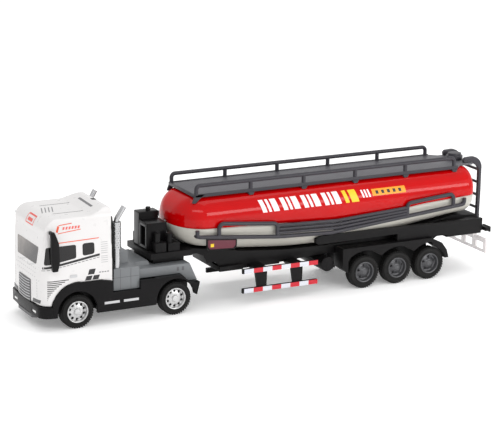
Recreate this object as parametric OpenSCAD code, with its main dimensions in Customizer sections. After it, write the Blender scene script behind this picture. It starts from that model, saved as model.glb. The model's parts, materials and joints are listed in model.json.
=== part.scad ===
// Toy articulated tanker truck: a cab-over tractor with a tank semi-trailer.
// Millimetres, +Z up, front of the truck towards -X, wheels standing on Z = 0.
// Tractor outlines are measured back from the front bumper ("t") and trailer
// outlines are measured back from the kingpin ("k").

/* [Overall] */
// Length from front bumper to rear light board
overall_l = 314; // [312:1:316]
// Width over the wheels and the fairings
body_w = 52; // [51.8:0.1:52.4]

/* [Tractor] */
// Front axle behind the front bumper
front_axle_t = 23.6; // [23.2:0.1:24]
// Distance between the tractor's two axles
wheelbase = 63.5; // [63:0.1:64]
// Kingpin behind the front bumper
kingpin_t = 86; // [85.5:0.1:86.5]
// Width of the white cab
cab_w = 50; // [49.4:0.1:50.4]
// Height of the front part of the cab roof
roof_h = 67; // [66:0.1:68]
// Height of the raised rear edge of the cab roof
spoiler_h = 70.6; // [70:0.1:71.5]
// Wall thickness of the cab moulding
cab_wall = 1.4; // [1:0.1:1.8]
// Height of the tractor's flat frame deck
deck_h = 30; // [29.6:0.1:30.2]

/* [Wheels] */
// Outer diameter of the tractor's tyres
tractor_tyre_d = 20.4; // [20:0.1:20.8]
// Outer diameter of the trailer's tyres
trailer_tyre_d = 21.2; // [20.8:0.1:21.4]
// Width of every tyre
tyre_w = 7; // [6.4:0.1:7.2]
// Seat diameter of the rims inside the tyres
rim_d = 13.2; // [12.8:0.1:13.6]
// Diameter of the steel axle rods
axle_d = 2; // [1.8:0.1:2.2]
// Radial running clearance of axles and kingpin
running_gap = 0.05; // [0.03:0.01:0.08]

/* [Trailer] */
// Middle trailer axle behind the kingpin
bogie_k = 157.4; // [157:0.1:158]
// Spacing of the three trailer axles
bogie_pitch = 24.2; // [24:0.1:24.4]
// Width of the tank
tank_w = 49.4; // [49:0.1:49.8]
// Length of the tank
tank_l = 214.5; // [214:0.1:215]
// Height of the top of the tank
tank_h = 69.6; // [69:0.1:70]
// Front of the tank behind the kingpin
tank_k = 4; // [3.6:0.1:4.4]
// Wall thickness of the two tank shells
tank_wall = 1.2; // [1:0.1:1.6]
// Width of the beam under the tank
frame_w = 30; // [28:0.5:32]

/* [Walkway and rails] */
// Length of each walkway handrail
handrail_l = 185; // [184:0.5:186]
// Height of the handrail's centre line
handrail_h = 76.6; // [76.4:0.1:77]
// Distance between the two handrails
handrail_gap = 35.2; // [35:0.1:35.6]
// Number of open bays in each handrail
handrail_bays = 5; // [4:1:6]
// Diameter of the moulded tubes
tube_d = 2.1; // [2:0.1:2.2]

/* [Hidden] */
$fn = 32;
front_x = -overall_l / 2;
rear_x = overall_l / 2;
king_x = front_x + kingpin_t;
front_axle_x = front_x + front_axle_t;
drive_axle_x = front_axle_x + wheelbase;
bogie_x = king_x + bogie_k;
half_w = body_w / 2;
tractor_tyre_r = tractor_tyre_d / 2;
trailer_tyre_r = trailer_tyre_d / 2;
axle_r = axle_d / 2;
axle_l = body_w - 4;
wheel_y = half_w - tyre_w / 2;          // centre plane of a wheel
rear_k = rear_x - king_x;               // back of the trailer from the kingpin
kingpin_r = 2.5;
screw_r = 0.9;
screw_l = 4;
stand_hole_r = 1.5;                     // holes for the screws of a display stand
stand_hole_depth = 6;
stand_hole_t = 55;
stand_hole_k = 52;
fifth_wheel_h = 3.2;
platform_z = deck_h + fifth_wheel_h + 0.3;
platform_h = 3.6;
platform_w = 35;
platform_k = -11.5;
arch_r = 12.6;                          // wheel opening in the tractor's fairings
walk_z = 71;                            // top face of the walkway
walk_t = 1.4;
walk_w = 36.4;
walk_k = 17;
walk_l = 190;
rail_y = 26.6;                          // centre plane of the side rails
side_y = cab_w / 2;
stack_t = 50.4;                         // exhaust stacks
stack_y = 21;
stack_r = 2.1;
guard_k = 46.5;                         // side guards
guard_l = 52.4;
guard_bar_h = 3;
guard_bar_z = [7.4, 19.8];
guard_posts = [9, 34];

// One row per axle: name, x, tyre radius, number of holes in the rim
AXLES = [
    ["front", front_axle_x, tractor_tyre_r, 10],
    ["drive", drive_axle_x, tractor_tyre_r, 10],
    ["trailer_1", bogie_x - bogie_pitch, trailer_tyre_r, 5],
    ["trailer_2", bogie_x, trailer_tyre_r, 5],
    ["trailer_3", bogie_x + bogie_pitch, trailer_tyre_r, 5]
];

// Lower edge of the cab, from its back corner over the front arch to the bumper
CAB_HEM = concat(
    [[46, 26.3], [38, 28]],
    [for (a = [88:10:168]) [front_axle_t, 12] + 16.2 * [cos(a), sin(a)]],
    [[8, 15.2]]
);

// Screws in the two undersides: distance from bumper or kingpin, height of the face
TRACTOR_SCREWS = [[12, 7.5], [43, 7.5], [70, 7.5]];
TRAILER_SCREWS = [[62, 20.4], [118, 22.6], [145.5, 22.6]];

// Underside of the tank, which the frame's top edge follows
BELLY = [[14, 37.6], [50, 31.6], [80, 28.8], [112, 28.2], [150, 29.6], [206, 37.6]];

// The seam between the two shells dips towards the middle, like the belly
SEAM = [[-2, 52], [16, 51.2], [72, 49.2], [112, 46.2], [158, 48.4], [174, 50.6], [222, 53]];

// Lower side wall of the tank: height, and how far it has drawn in
TUCK = [[27, 9], [34, 5], [44, 1.2], [50, 0]];

// Heights of the lowest rail tube at its ends and bends
RAIL = [[15, 47], [70.5, 41.2], [108, 39.6], [206, 47.6]];

WHEEL_NODES = [
    for (a = AXLES) each [str(a[0], "_axle"), str(a[0], "_rims"), str(a[0], "_tyres")]
];

// ---- Shared shapes --------------------------------------------------------

// Points of an arc of radius r about c, from angle a to angle b
function arc(c, r, a, b, n = 8) =
    [for (i = [0:n]) c + r * [cos(a + (b - a) * i / n), sin(a + (b - a) * i / n)]];

// A straight round bar from p to q
module bar(p, q, d) {
    v = q - p;
    l = norm(v);
    translate(p)
        rotate([0, acos(v.z / l), atan2(v.y, v.x)])
            cylinder(h = l, d = d, $fn = 16);
}

// A flat ribbon of width w that follows a list of side view points
module stroke(points, w) {
    for (i = [0:len(points) - 2]) {
        v = points[i + 1] - points[i];
        translate(points[i])
            rotate(atan2(v.y, v.x))
                translate([0, -w / 2])
                    square([norm(v), w]);
    }
    for (i = [1:len(points) - 2])
        translate(points[i]) circle(d = w, $fn = 8);
}

// A moulded tube centred on the plane at y that follows side view points
module tube_run(points, y, d) {
    across(y - d / 2, y + d / 2) stroke(points, d);
}

// Side view outline (x along the truck, y up) swept across the truck from y0 to y1
module across(y0, y1) {
    translate([0, y1, 0])
        rotate([90, 0, 0])
            linear_extrude(y1 - y0)
                children();
}

// Cross-section (x across, y up) swept along the truck
module along(x0, x1) {
    translate([x0, 0, 0])
        rotate([90, 0, 90])
            linear_extrude(x1 - x0)
                children();
}

// A box from its two opposite corners
module block(low, high) {
    translate(low) cube(high - low);
}

// The child and its mirror image on the other side of the truck
module both_sides() {
    children();
    mirror([0, 1, 0]) children();
}

// Children placed on one side: -1 is the left, 1 is the right
module on_side(side) {
    if (side < 0) mirror([0, 1, 0]) children();
    else children();
}

// Origin at the front bumper or at the kingpin
module tractor_place() { translate([front_x, 0, 0]) children(); }
module trailer_place() { translate([king_x, 0, 0]) children(); }

// Round hole across the truck at an axle
module axle_hole(x, z) {
    translate([x, -half_w, z])
        rotate([-90, 0, 0])
            cylinder(h = body_w, r = axle_r + running_gap);
}

// ---- Wheels ---------------------------------------------------------------

// Places both wheels of an axle: outer face at local z = 0, axis pointing outwards
module wheel_pair(a) {
    for (side = [-1, 1])
        translate([a[1], side * half_w, a[2]])
            rotate([-90 * side, 0, 0])
                children();
}

module tyres(a) {
    shoulder = 1.2;
    color([0.10, 0.10, 0.10])
        wheel_pair(a)
            rotate_extrude($fn = 48)
                polygon(concat(
                    [[rim_d / 2, -0.5], [a[2] - shoulder - 0.6, 0]],
                    arc([a[2] - shoulder, -shoulder], shoulder, 60, 0, 3),
                    arc([a[2] - shoulder, shoulder - tyre_w], shoulder, 0, -60, 3),
                    [[rim_d / 2, 0.5 - tyre_w]]
                ));
}

module rims(a) {
    seat_r = rim_d / 2;
    hole_n = a[3];
    hole_r = hole_n > 5 ? 0.5 : 0.9;
    color(hole_n > 5 ? [0.80, 0.80, 0.80] : [0.32, 0.32, 0.34])
        wheel_pair(a)
            difference() {
                rotate_extrude($fn = 48)
                    polygon([
                        [axle_r, -0.7], [2, -0.7], [2.3, -1.2], [3.4, -2.4], [5, -1.6],
                        [5.5, -0.6], [seat_r, -0.5], [seat_r, 0.5 - tyre_w],
                        [5.6, 0.5 - tyre_w], [5.2, -3.2], [3.2, -3.6], [2.6, -5],
                        [axle_r, -5]
                    ]);
                for (i = [0:hole_n - 1])
                    rotate([0, 0, 360 / hole_n * i])
                        translate([4.2, 0, -4.5])
                            cylinder(h = 4, r = hole_r, $fn = 16);
            }
}

module axle(a) {
    color([0.62, 0.62, 0.64])
        translate([a[1], -axle_l / 2, a[2]])
            rotate([-90, 0, 0])
                cylinder(h = axle_l, r = axle_r);
}

// ---- Cab ------------------------------------------------------------------

// Side outline of the cab, from the front of the wheel arch round the roof
module cab_side_outline() {
    polygon(concat(
        [[0.8, 15.2], [0.8, 30], [2.4, 40], [3.2, 50], [4, 58]],
        arc([12, roof_h - 8], 8, 170, 90, 6),
        [[33, roof_h], [43, spoiler_h], [47, spoiler_h - 0.6], [47, spoiler_h - 4],
         [46, spoiler_h - 5]],
        CAB_HEM
    ));
}

// Plan outline of the cab with its rounded front corners
module cab_plan_outline() {
    r = 7;
    polygon(concat(
        [[48, side_y], [48, -side_y]],
        arc([r + 1.6, -side_y + r], r, 270, 200, 6),
        [[0.8, -10], [0.6, 0], [0.8, 10]],
        arc([r + 1.6, side_y - r], r, 160, 90, 6)
    ));
}

// Front view outline: upright sides that lean in slightly and round into the roof
module cab_front_outline() {
    r = 6;
    top = spoiler_h + 0.2;
    polygon(concat(
        [[-side_y, 10], [side_y, 10], [side_y, 40]],
        arc([side_y - r - 1.4, top - r], r, 5, 90, 6),
        arc([r + 1.4 - side_y, top - r], r, 90, 175, 6),
        [[-side_y, 40]]
    ));
}

// The cab's outer volume, shrunk by the given amount
module cab_volume(shrink = 0) {
    intersection() {
        across(-side_y, side_y) offset(delta = -shrink) cab_side_outline();
        linear_extrude(80) offset(delta = -shrink) cab_plan_outline();
        along(-1, 50) offset(delta = -shrink) cab_front_outline();
    }
}

// Outline of the windscreen, seen from the front
module windscreen_outline() {
    polygon([[-14.6, 39.4], [14.6, 39.4], [16.4, 49.6], [-16.4, 49.6]]);
}

// The two windows on each side, seen from the side
module side_window_outline() {
    polygon([[4.6, 40.6], [23.2, 43.2], [23.2, 50.2], [22.4, 51], [6, 51], [4.6, 49.6]]);
    polygon([[28.2, 43.8], [33.6, 44.4], [34.6, 45.4], [34.6, 50.2], [33.6, 51],
             [28.2, 51], [27.3, 50.2], [27.3, 44.6]]);
}

module window_cutters() {
    along(-2, 8) windscreen_outline();
    both_sides() across(side_y - 4, side_y + 2) side_window_outline();
}

module cab_shell() {
    nose_t = 4;
    sill = 3.4;
    color([0.93, 0.92, 0.91])
        tractor_place() {
            difference() {
                cab_volume();
                difference() {
                    cab_volume(cab_wall);
                    block([-1, -side_y, 0], [nose_t, side_y, 38]);
                }
                block([nose_t, sill - side_y, 0], [46 - cab_wall, side_y - sill, 30]);
                window_cutters();
                headlight_blocks();
            }
            both_sides()
                for (z = [26:2:32])
                    block([4.4, side_y - 1, z], [6.4, side_y + 0.6, z + 1]);
        }
}

module windscreen() {
    color([0.45, 0.45, 0.46, 0.8])
        tractor_place()
            intersection() {
                difference() {
                    cab_volume(0.3);
                    cab_volume(cab_wall);
                }
                along(-2, 8) windscreen_outline();
            }
}

module side_windows() {
    color([0.12, 0.12, 0.13, 0.9])
        tractor_place()
            intersection() {
                difference() {
                    cab_volume(0.3);
                    cab_volume(cab_wall);
                }
                both_sides() across(side_y - 4, side_y + 2) side_window_outline();
            }
}

// Radiator grille: a frame plate with a row of slats standing proud of it
module grille() {
    slat_n = 8;
    low = 15.4;
    pitch = 1.65;
    color([0.25, 0.25, 0.26])
        tractor_place() {
            block([0.5, -9, low - 0.2], [0.8, 9, low + slat_n * pitch]);
            across(-8.6, 8.6)
                for (i = [0:slat_n - 1])
                    translate([0, low + i * pitch])
                        polygon([[0.5, 0.2], [0, 0.6], [0, 1], [0.5, 1.2]]);
        }
}

// Slanted lens blocks that follow the cab's front corners
module headlight_blocks() {
    both_sides()
        intersection() {
            difference() {
                cab_volume(-0.3);
                cab_volume(0.8);
            }
            along(-1, 5) polygon([[11.6, 16], [20.6, 16.6], [21.2, 18.8], [12.4, 18.2]]);
        }
}

module headlights() {
    color([0.55, 0.55, 0.56])
        tractor_place() headlight_blocks();
}

module cab_interior() {
    seat_t = 18;
    color([0.2, 0.2, 0.2])
        tractor_place() {
            block([6, -19, 28.6], [44, 19, 30]);
            block([5, -16, 30], [10, 16, 38]);
            both_sides() {
                block([seat_t, 4, 30], [seat_t + 10, 15, 34]);
                block([seat_t + 8, 4, 34], [seat_t + 11, 15, 46]);
            }
        }
}

// Tall mirror on two arms from the door pillar
module door_mirror(side) {
    glass_y = side_y + 1.8;
    color([0.1, 0.1, 0.1])
        tractor_place()
            on_side(side) {
                across(glass_y, glass_y + 2)
                    polygon([[6.2, 44], [6.2, 60.8], [8.4, 60.8], [11, 54], [11.4, 42],
                             [10.2, 37.2], [7.2, 37.2]]);
                block([6.4, 23.95, 59], [8, glass_y, 60.8]);
                block([7.6, side_y + 0.02, 37.4], [10, glass_y, 39]);
            }
}

module cab_back_panel() {
    color([0.12, 0.12, 0.12])
        tractor_place()
            along(46, 47.2)
                polygon([[-24.6, 27], [24.6, 27], [24.6, 58], [22.6, 65], [-22.6, 65],
                         [-24.6, 58]]);
}

// ---- Tractor's lower body -------------------------------------------------

module front_bumper() {
    color([0.12, 0.12, 0.12])
        tractor_place()
            difference() {
                union() {
                    translate([0, 0, 8])
                        linear_extrude(7)
                            polygon(concat(
                                [[8, half_w], [5, half_w - 5], [5, 5 - half_w], [8, -half_w]],
                                arc([7.5, 7 - half_w], 7, 268, 195, 5),
                                [[0.1, -10], [0, 0], [0.1, 10]],
                                arc([7.5, half_w - 7], 7, 165, 92, 5)
                            ));
                    block([0.4, -9, 5.6], [5, 9, 8]);
                }
                both_sides() block([-1, 12, 10], [1.6, 17, 11.4]);
            }
}

module fog_lamps() {
    color([0.92, 0.92, 0.9])
        tractor_place()
            both_sides() block([0.5, 12, 10], [1.6, 17, 11.4]);
}

// Side outline of the fairing: front arch, skirt and the fender over the drive axle
module fairing_outline() {
    difference() {
        polygon(concat(
            [[8, 8], [8, 15.2]],
            [for (i = [len(CAB_HEM) - 2:-1:0]) CAB_HEM[i]],
            [[46, 19.3], [64, 19.3], [64, 24.2], [92, 24.2],
             [97, 19], [103.3, 19], [101.4, 11], [97.3, 13.2], [75, 8], [36, 8]]
        ));
        translate([front_axle_t, tractor_tyre_r]) circle(r = arch_r);
        translate([front_axle_t - arch_r, 0]) square([2 * arch_r, tractor_tyre_r]);
        translate([front_axle_t + wheelbase, tractor_tyre_r]) circle(r = arch_r);
        translate([front_axle_t + wheelbase - arch_r, 0])
            square([2 * arch_r, tractor_tyre_r]);
    }
}

module fairing(side) {
    color([0.12, 0.12, 0.12])
        tractor_place()
            on_side(side)
                difference() {
                    union() {
                        across(half_w - 2.4, half_w) fairing_outline();
                        intersection() {
                            across(18, half_w - 1) fairing_outline();
                            block([75, 0, 18], [104, half_w, 25]);
                        }
                    }
                    for (t = [40.6, 53])
                        block([t, half_w - 0.6, 12.6], [t + 9.8, half_w + 1, 14.2]);
                }
}

module step_plates() {
    color([0.8, 0.8, 0.8])
        tractor_place()
            both_sides()
                for (t = [40.6, 53])
                    block([t, half_w - 0.6, 12.6], [t + 9.8, half_w, 14.2]);
}

// Floor and backbone of the tractor, with the bearings of both axles
module tractor_chassis() {
    color([0.15, 0.15, 0.15])
        difference() {
            tractor_place() {
                block([5, -15, 7.5], [100, 15, 17]);
                block([5, -18, 17], [44.5, 18, 28.6]);
                block([44.5, -18, 17], [64, 18, 19.5]);
                block([64, -18, 17], [98, 18, 24.2]);
                block([37, -23.6, 9], [73, 23.6, 11]);
            }
            axle_hole(front_axle_x, tractor_tyre_r);
            axle_hole(drive_axle_x, tractor_tyre_r);
            tractor_place() {
                translate([stand_hole_t, 0, 7])
                    cylinder(h = stand_hole_depth + 0.5, r = stand_hole_r);
                translate([kingpin_t, 0, 20]) cylinder(h = 8, r = kingpin_r + 1);
                for (p = TRACTOR_SCREWS)
                    translate([p[0], 0, p[1] - 1]) cylinder(h = screw_l + 1, r = screw_r);
            }
        }
}

module frame_deck() {
    color([0.46, 0.47, 0.48])
        tractor_place()
            difference() {
                union() {
                    block([47.2, -24, 19.5], [64, 24, deck_h + 3]);
                    across(-21, 21)
                        polygon([[64, 24.3], [98.2, 24.3], [98.2, 19.1], [103.6, 19.1],
                                 [98.6, deck_h], [64, deck_h]]);
                    both_sides()
                        across(18.2, 21)
                            polygon([[92.1, 24.4], [97.3, 19.1], [98.4, 19.1], [98.4, 24.4]]);
                    block([50, -14, deck_h + 3], [61, 14, deck_h + 10]);
                    across(-14, 14)
                        polygon([[64, deck_h - 1], [76, deck_h - 1], [74, deck_h + 2.6],
                                 [64, deck_h + 2.6]]);
                }
                translate([kingpin_t, 0, 20]) cylinder(h = 20, r = kingpin_r + 1);
            }
}

// Coupling plate that the trailer turns on
module fifth_wheel() {
    color([0.12, 0.12, 0.12])
        tractor_place()
            difference() {
                block([kingpin_t - 8.5, -14, deck_h],
                      [kingpin_t + 12, 14, deck_h + fifth_wheel_h]);
                translate([kingpin_t, 0, deck_h - 1])
                    cylinder(h = fifth_wheel_h + 2, r = kingpin_r + running_gap);
            }
}

module exhaust_stacks() {
    color([0.82, 0.82, 0.83])
        tractor_place()
            both_sides() {
                translate([stack_t, stack_y, deck_h + 3]) cylinder(h = 28, r = stack_r);
                translate([stack_t, stack_y, deck_h + 31]) sphere(r = stack_r);
                bar([stack_t, stack_y, deck_h + 31],
                    [stack_t + 3.6, stack_y + 0.6, deck_h + 38], 2 * stack_r - 0.6);
            }
}

module exhaust_shields() {
    color([0.74, 0.74, 0.76])
        tractor_place()
            both_sides()
                translate([stack_t, stack_y, 45])
                    difference() {
                        cylinder(h = 16, r = stack_r + 0.7);
                        translate([0, 0, -1]) cylinder(h = 18, r = stack_r);
                    }
}

// Pan-head screw with its head downwards and its shank inside the moulding
module screw() {
    cylinder(h = screw_l, r = screw_r);
    translate([0, 0, -0.8]) cylinder(h = 0.8, r = 2 * screw_r);
}

module tractor_screws() {
    color([0.6, 0.6, 0.62])
        tractor_place()
            for (p = TRACTOR_SCREWS)
                translate([p[0], 0, p[1]]) screw();
}

// ---- Trailer frame --------------------------------------------------------

module frame_outline() {
    polygon(concat(
        [[platform_k, platform_z + platform_h], [12, platform_z + platform_h]],
        BELLY,
        [[rear_k - 4, 36], [rear_k - 4, 26], [196, 26], [190, 22.6], [104, 22.6],
         [66, 20.4], [38, 20.4], [33, 26.6], [27, 26.6], [25, platform_z - 2],
         [20, platform_z], [platform_k, platform_z]]
    ));
}

module trailer_frame() {
    half = frame_w / 2;
    beam_end = rear_k - 5.4;
    color([0.1, 0.1, 0.1])
        difference() {
            trailer_place() {
                across(-half, half) frame_outline();
                block([platform_k, -platform_w / 2, platform_z],
                      [16, platform_w / 2, platform_z + platform_h]);
                block([34, -19, 21], [50, 19, 24]);
                both_sides() {
                    across(21.2, 23.8)
                        polygon([[100.6, 31.8], [98.4, 33], [98.4, 35.4], [101, 37],
                                 [116, 37.4], [beam_end, 35.8], [beam_end, 32.3],
                                 [118, 32.3]]);
                    block([158, 15, 27.5], [beam_end, 23.8, 29.4]);
                    block([158, 21.2, 29.4], [beam_end, 23.8, 32.4]);
                    block([196, 15, 25.6], [beam_end, 22.6, 35.4]);
                }
                for (i = [-1:1])
                    block([bogie_k + i * bogie_pitch - 4, -15, 7],
                          [bogie_k + i * bogie_pitch + 4, 15, 23]);
            }
            for (i = [2:4])
                axle_hole(AXLES[i][1], trailer_tyre_r);
            trailer_place() {
                translate([stand_hole_k, 0, 20])
                    cylinder(h = stand_hole_depth + 0.4, r = stand_hole_r);
                translate([0, 0, platform_z - 1]) cylinder(h = 3, r = kingpin_r);
                for (p = TRAILER_SCREWS)
                    translate([p[0], 0, p[1] - 1]) cylinder(h = screw_l + 1, r = screw_r);
            }
        }
}

module kingpin() {
    color([0.6, 0.6, 0.62])
        trailer_place()
            translate([0, 0, deck_h - 3])
                cylinder(h = platform_z + 2 - (deck_h - 3), r = kingpin_r);
}

// Cabinet of the pump drive: a tall half, a lower half with an open front, and a knob
module pump_cabinet() {
    floor_z = platform_z + platform_h;
    color([0.1, 0.1, 0.1])
        trailer_place()
            difference() {
                union() {
                    block([-10.5, 2, floor_z], [2.4, 9.6, 58.4]);
                    block([-10.5, -9.6, floor_z], [2.4, 2, 54]);
                    translate([-3, 5.6, 58.4]) cylinder(h = 2, r = 1.5);
                }
                block([-11, -7.6, floor_z + 2], [-6, 0.4, 52]);
            }
}

module valve_block() {
    floor_z = platform_z + platform_h;
    color([0.13, 0.13, 0.13])
        trailer_place()
            both_sides() {
                block([-8, 10.4, floor_z], [-1, 16.6, 43]);
                block([0.4, 10.4, floor_z], [8, 16.6, 42.4]);
                block([-7, 11, 43], [-4, 14, 48.4]);
                translate([2.6, 13.4, 42.4]) cylinder(h = 5.6, r = 1.9);
            }
}

// ---- Tank -----------------------------------------------------------------

module tank_side_outline() {
    l = tank_k + tank_l;
    polygon(concat(
        [for (p = BELLY) [p.x, p.y]],
        [[l - 3, 41], [l, 47], [l, 56]],
        arc([l - 9, tank_h - 9], 9, 20, 90, 5),
        arc([tank_k + 12, tank_h - 13], 13, 90, 158, 6),
        [[tank_k, 57], [tank_k, 52], [tank_k + 2.6, 45], [tank_k + 6, 40]]
    ));
}

module tank_plan_outline() {
    l = tank_k + tank_l;
    half = tank_w / 2;
    polygon(concat(
        [[l, -half + 6], [l + 0.4, 0], [l, half - 6]],
        [[l - 4, half]],
        [for (a = [0:10:90]) [tank_k + 14 - 14 * sin(a), half * pow(cos(a), 0.6)]],
        [for (a = [80:-10:0]) [tank_k + 14 - 14 * sin(a), -half * pow(cos(a), 0.6)]],
        [[l - 4, -half]]
    ));
}

// Half width of the tank at height z, below its widest part
function tank_half(z) = tank_w / 2 - lookup(z, TUCK);

module tank_section_outline() {
    half = tank_w / 2;
    r = 14;
    polygon(concat(
        arc([half - r, tank_h - r], r, 0, 90, 8),
        arc([r - half, tank_h - r], r, 90, 180, 8),
        [for (i = [3:-1:0]) [TUCK[i][1] - half, TUCK[i][0]]],
        [for (p = TUCK) [half - p[1], p[0]]]
    ));
}

module tank_volume(shrink = 0) {
    intersection() {
        across(-tank_w, tank_w) offset(delta = -shrink) tank_side_outline();
        linear_extrude(80) offset(delta = -shrink) tank_plan_outline();
        along(0, 230) offset(delta = -shrink) tank_section_outline();
    }
}

// Everything above (or below) the seam
module above_seam() {
    across(-tank_w, tank_w) polygon(concat(SEAM, [[222, 90], [-2, 90]]));
}

module tank_top() {
    color([0.78, 0.0, 0.05])
        trailer_place()
            intersection() {
                difference() {
                    tank_volume();
                    tank_volume(tank_wall);
                }
                above_seam();
            }
}

module tank_bottom() {
    color([0.72, 0.71, 0.67])
        trailer_place()
            difference() {
                tank_volume();
                tank_volume(tank_wall);
                above_seam();
            }
}

// ---- Walkway and handrails ------------------------------------------------

module walkway() {
    half = walk_w / 2;
    color([0.42, 0.42, 0.44])
        trailer_place() {
            translate([0, 0, walk_z - walk_t])
                linear_extrude(walk_t)
                    polygon([[walk_k, -half], [walk_k, half], [walk_k + walk_l - 2.5, half],
                             [walk_k + walk_l + 3, 13.6], [220, 13.6], [220, -13.6],
                             [walk_k + walk_l + 3, -13.6], [walk_k + walk_l - 2.5, -half]]);
            both_sides()
                across(half - 1, half)
                    polygon([[walk_k - 1.8, 68.1], [walk_k, walk_z], [walk_k + 6, walk_z],
                             [walk_k + 6, 68.1]]);
        }
}

module handrail(side) {
    k0 = 18.1;
    k1 = k0 + handrail_l;
    bend = 1.6;
    color([0.28, 0.27, 0.30])
        trailer_place()
            on_side(side) {
                tube_run([[k0, walk_z], [k0, handrail_h - bend], [k0 + bend, handrail_h],
                          [k1 - bend, handrail_h], [k1, handrail_h - bend], [k1, walk_z]],
                         handrail_gap / 2, tube_d);
                for (i = [1:handrail_bays - 1])
                    tube_run([[k0 + handrail_l * i / handrail_bays, walk_z],
                              [k0 + handrail_l * i / handrail_bays, handrail_h]],
                             handrail_gap / 2, tube_d);
            }
}

module hose_cover() {
    color([0.15, 0.15, 0.16])
        trailer_place()
            translate([214.6, 0, walk_z]) {
                cylinder(h = 2.6, r = 5.4);
                translate([0, 0, 2.6]) cylinder(h = 1.6, r = 4.4);
            }
}

// ---- Side rails -----------------------------------------------------------

// Height of the lowest tube at k
function rail_z(k) = lookup(k, RAIL);

module side_rail(side) {
    d = tube_d;
    hoop_h = 8.4;
    bend = 2.4;
    // Start and end of the hoops that stand above the lowest tube
    front = [29.6, 69.6];
    back = [163, 197.6];
    color([0.28, 0.27, 0.30])
        trailer_place()
            on_side(side) {
                across(rail_y - d / 2, rail_y + d / 2) {
                    stroke(RAIL, d);
                    for (h = [front, back])
                        stroke([[h[0], rail_z(h[0])], [h[0], rail_z(h[0]) + hoop_h - bend],
                                [h[0] + bend, rail_z(h[0] + bend) + hoop_h],
                                [h[1] - bend, rail_z(h[1] - bend) + hoop_h],
                                [h[1], rail_z(h[1]) + hoop_h - bend],
                                [h[1], rail_z(h[1])]], d);
                    for (lift = [2.4, 4.7, 7])
                        stroke([[front[1], rail_z(front[1]) + lift],
                                [112, rail_z(112) + lift],
                                [back[0], rail_z(back[0]) + lift * 0.8]], d - 0.6);
                    for (k = [15, 206])
                        stroke([[k, rail_z(k) - d / 2], [k, rail_z(k) + 4]], d);
                }
                for (k = [15, 112, 206])
                    bar([k, tank_half(rail_z(k) + d / 2) + 0.02, rail_z(k)],
                        [k, rail_y, rail_z(k)], d - 0.2);
            }
}

// Outline of a marker plate that hangs under the rail, drawn in by the given margin
module marker_outline(margin) {
    k0 = 21.6 + margin;
    k1 = 42 - margin;
    drop = tube_d / 2 + 0.05 + margin;
    polygon([[k0, rail_z(k0) - drop], [k0, 39.2 + margin], [k0 + 1.4, 37.4 + margin],
             [k1 - 1.6, 36.6 + margin], [k1, 38.2 + margin], [k1, rail_z(k1) - drop]]);
}

module marker_plates() {
    color([0.14, 0.14, 0.14])
        trailer_place()
            both_sides()
                difference() {
                    across(half_w - 1.2, half_w) marker_outline(0);
                    across(half_w - 0.5, half_w + 1) marker_outline(0.9);
                }
}

module marker_inserts() {
    color([0.42, 0.08, 0.14])
        trailer_place()
            both_sides()
                across(half_w - 0.5, half_w - 0.1) marker_outline(0.9);
}

// ---- Side guards ----------------------------------------------------------

module side_guard(side) {
    color([0.13, 0.13, 0.13])
        trailer_place()
            on_side(side) {
                for (z = guard_bar_z)
                    block([guard_k, half_w - 2, z],
                          [guard_k + guard_l, half_w - 0.3, z + guard_bar_h]);
                for (p = guard_posts) {
                    k = guard_k + p;
                    across(half_w - 3.4, half_w - 1.2)
                        polygon([[k + 2, 9], [k + 8, 9], [k + 8.4, 21.4], [k, 21.4]]);
                    block([k, frame_w / 2, 20.6], [k + 8, half_w - 1.6, 22.6]);
                }
            }
}

// Reflective strip on each guard bar, in eight equal lengths
module guard_stripes() {
    color([0.8, 0.1, 0.15])
        trailer_place()
            both_sides()
                for (z = guard_bar_z)
                    block([guard_k + 1, half_w - 0.3, z + 0.1],
                          [guard_k + guard_l, half_w, z + guard_bar_h - 0.1]);
}

module air_tank() {
    color([0.1, 0.1, 0.1])
        trailer_place() {
            translate([108.6, 21.4, 17.6])
                rotate([90, 0, 0])
                    cylinder(h = 42.8, r = 4.6);
            block([106.6, -8, 20], [110.6, 8, 22.6]);
        }
}

// ---- Mudguards ------------------------------------------------------------

// Flattened arch over one wheel, from reach before its centre to the given distance after
module wheel_arch(k, after) {
    cut_r = 18.2;
    reach = 12.2;
    intersection() {
        translate([k, 6.6]) circle(r = cut_r);
        translate([k - reach, 0]) square([reach + after, 30]);
    }
}

// Outline over the three wheels, which turns down round the back of the last one
module mudguard_outline() {
    first = bogie_k - bogie_pitch;
    last = bogie_k + bogie_pitch;
    difference() {
        polygon([[first - 16.4, 27.4], [last + 1, 27.4], [last + 9, 23.4],
                 [last + 12.8, 18.4], [last + 14.2, 13.2], [first - 10, 9.6],
                 [first - 16.4, 14.6]]);
        wheel_arch(first, 12.2);
        wheel_arch(bogie_k, 12.2);
        wheel_arch(last, 1);
        translate([last, 0])
            polygon([[0.9, 0], [0.9, 24.7], [2.2, 22.3], [4.4, 21.3], [8, 18.9],
                     [10.6, 15.6], [11.6, 12.6], [11.6, 0]]);
    }
}

module mudguard(side) {
    color([0.1, 0.1, 0.1])
        trailer_place()
            on_side(side)
                across(frame_w / 2, half_w + 0.2) mudguard_outline();
}

// ---- Rear end -------------------------------------------------------------

// Side outline of the broad cheek that carries a stile over onto the walkway
module ladder_cheek(k) {
    polygon([[k + 1.2, 60], [k + 1, 66.5], [k - 1.4, 72.6], [k - 4.4, 74.6],
             [k - 10.6, 74.4], [k - 12.6, 72.8], [k - 12.6, walk_z],
             [k - 5.9, walk_z], [k - 4.2, 70], [k - 1.8, 66], [k - 1.2, 60]]);
}

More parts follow.
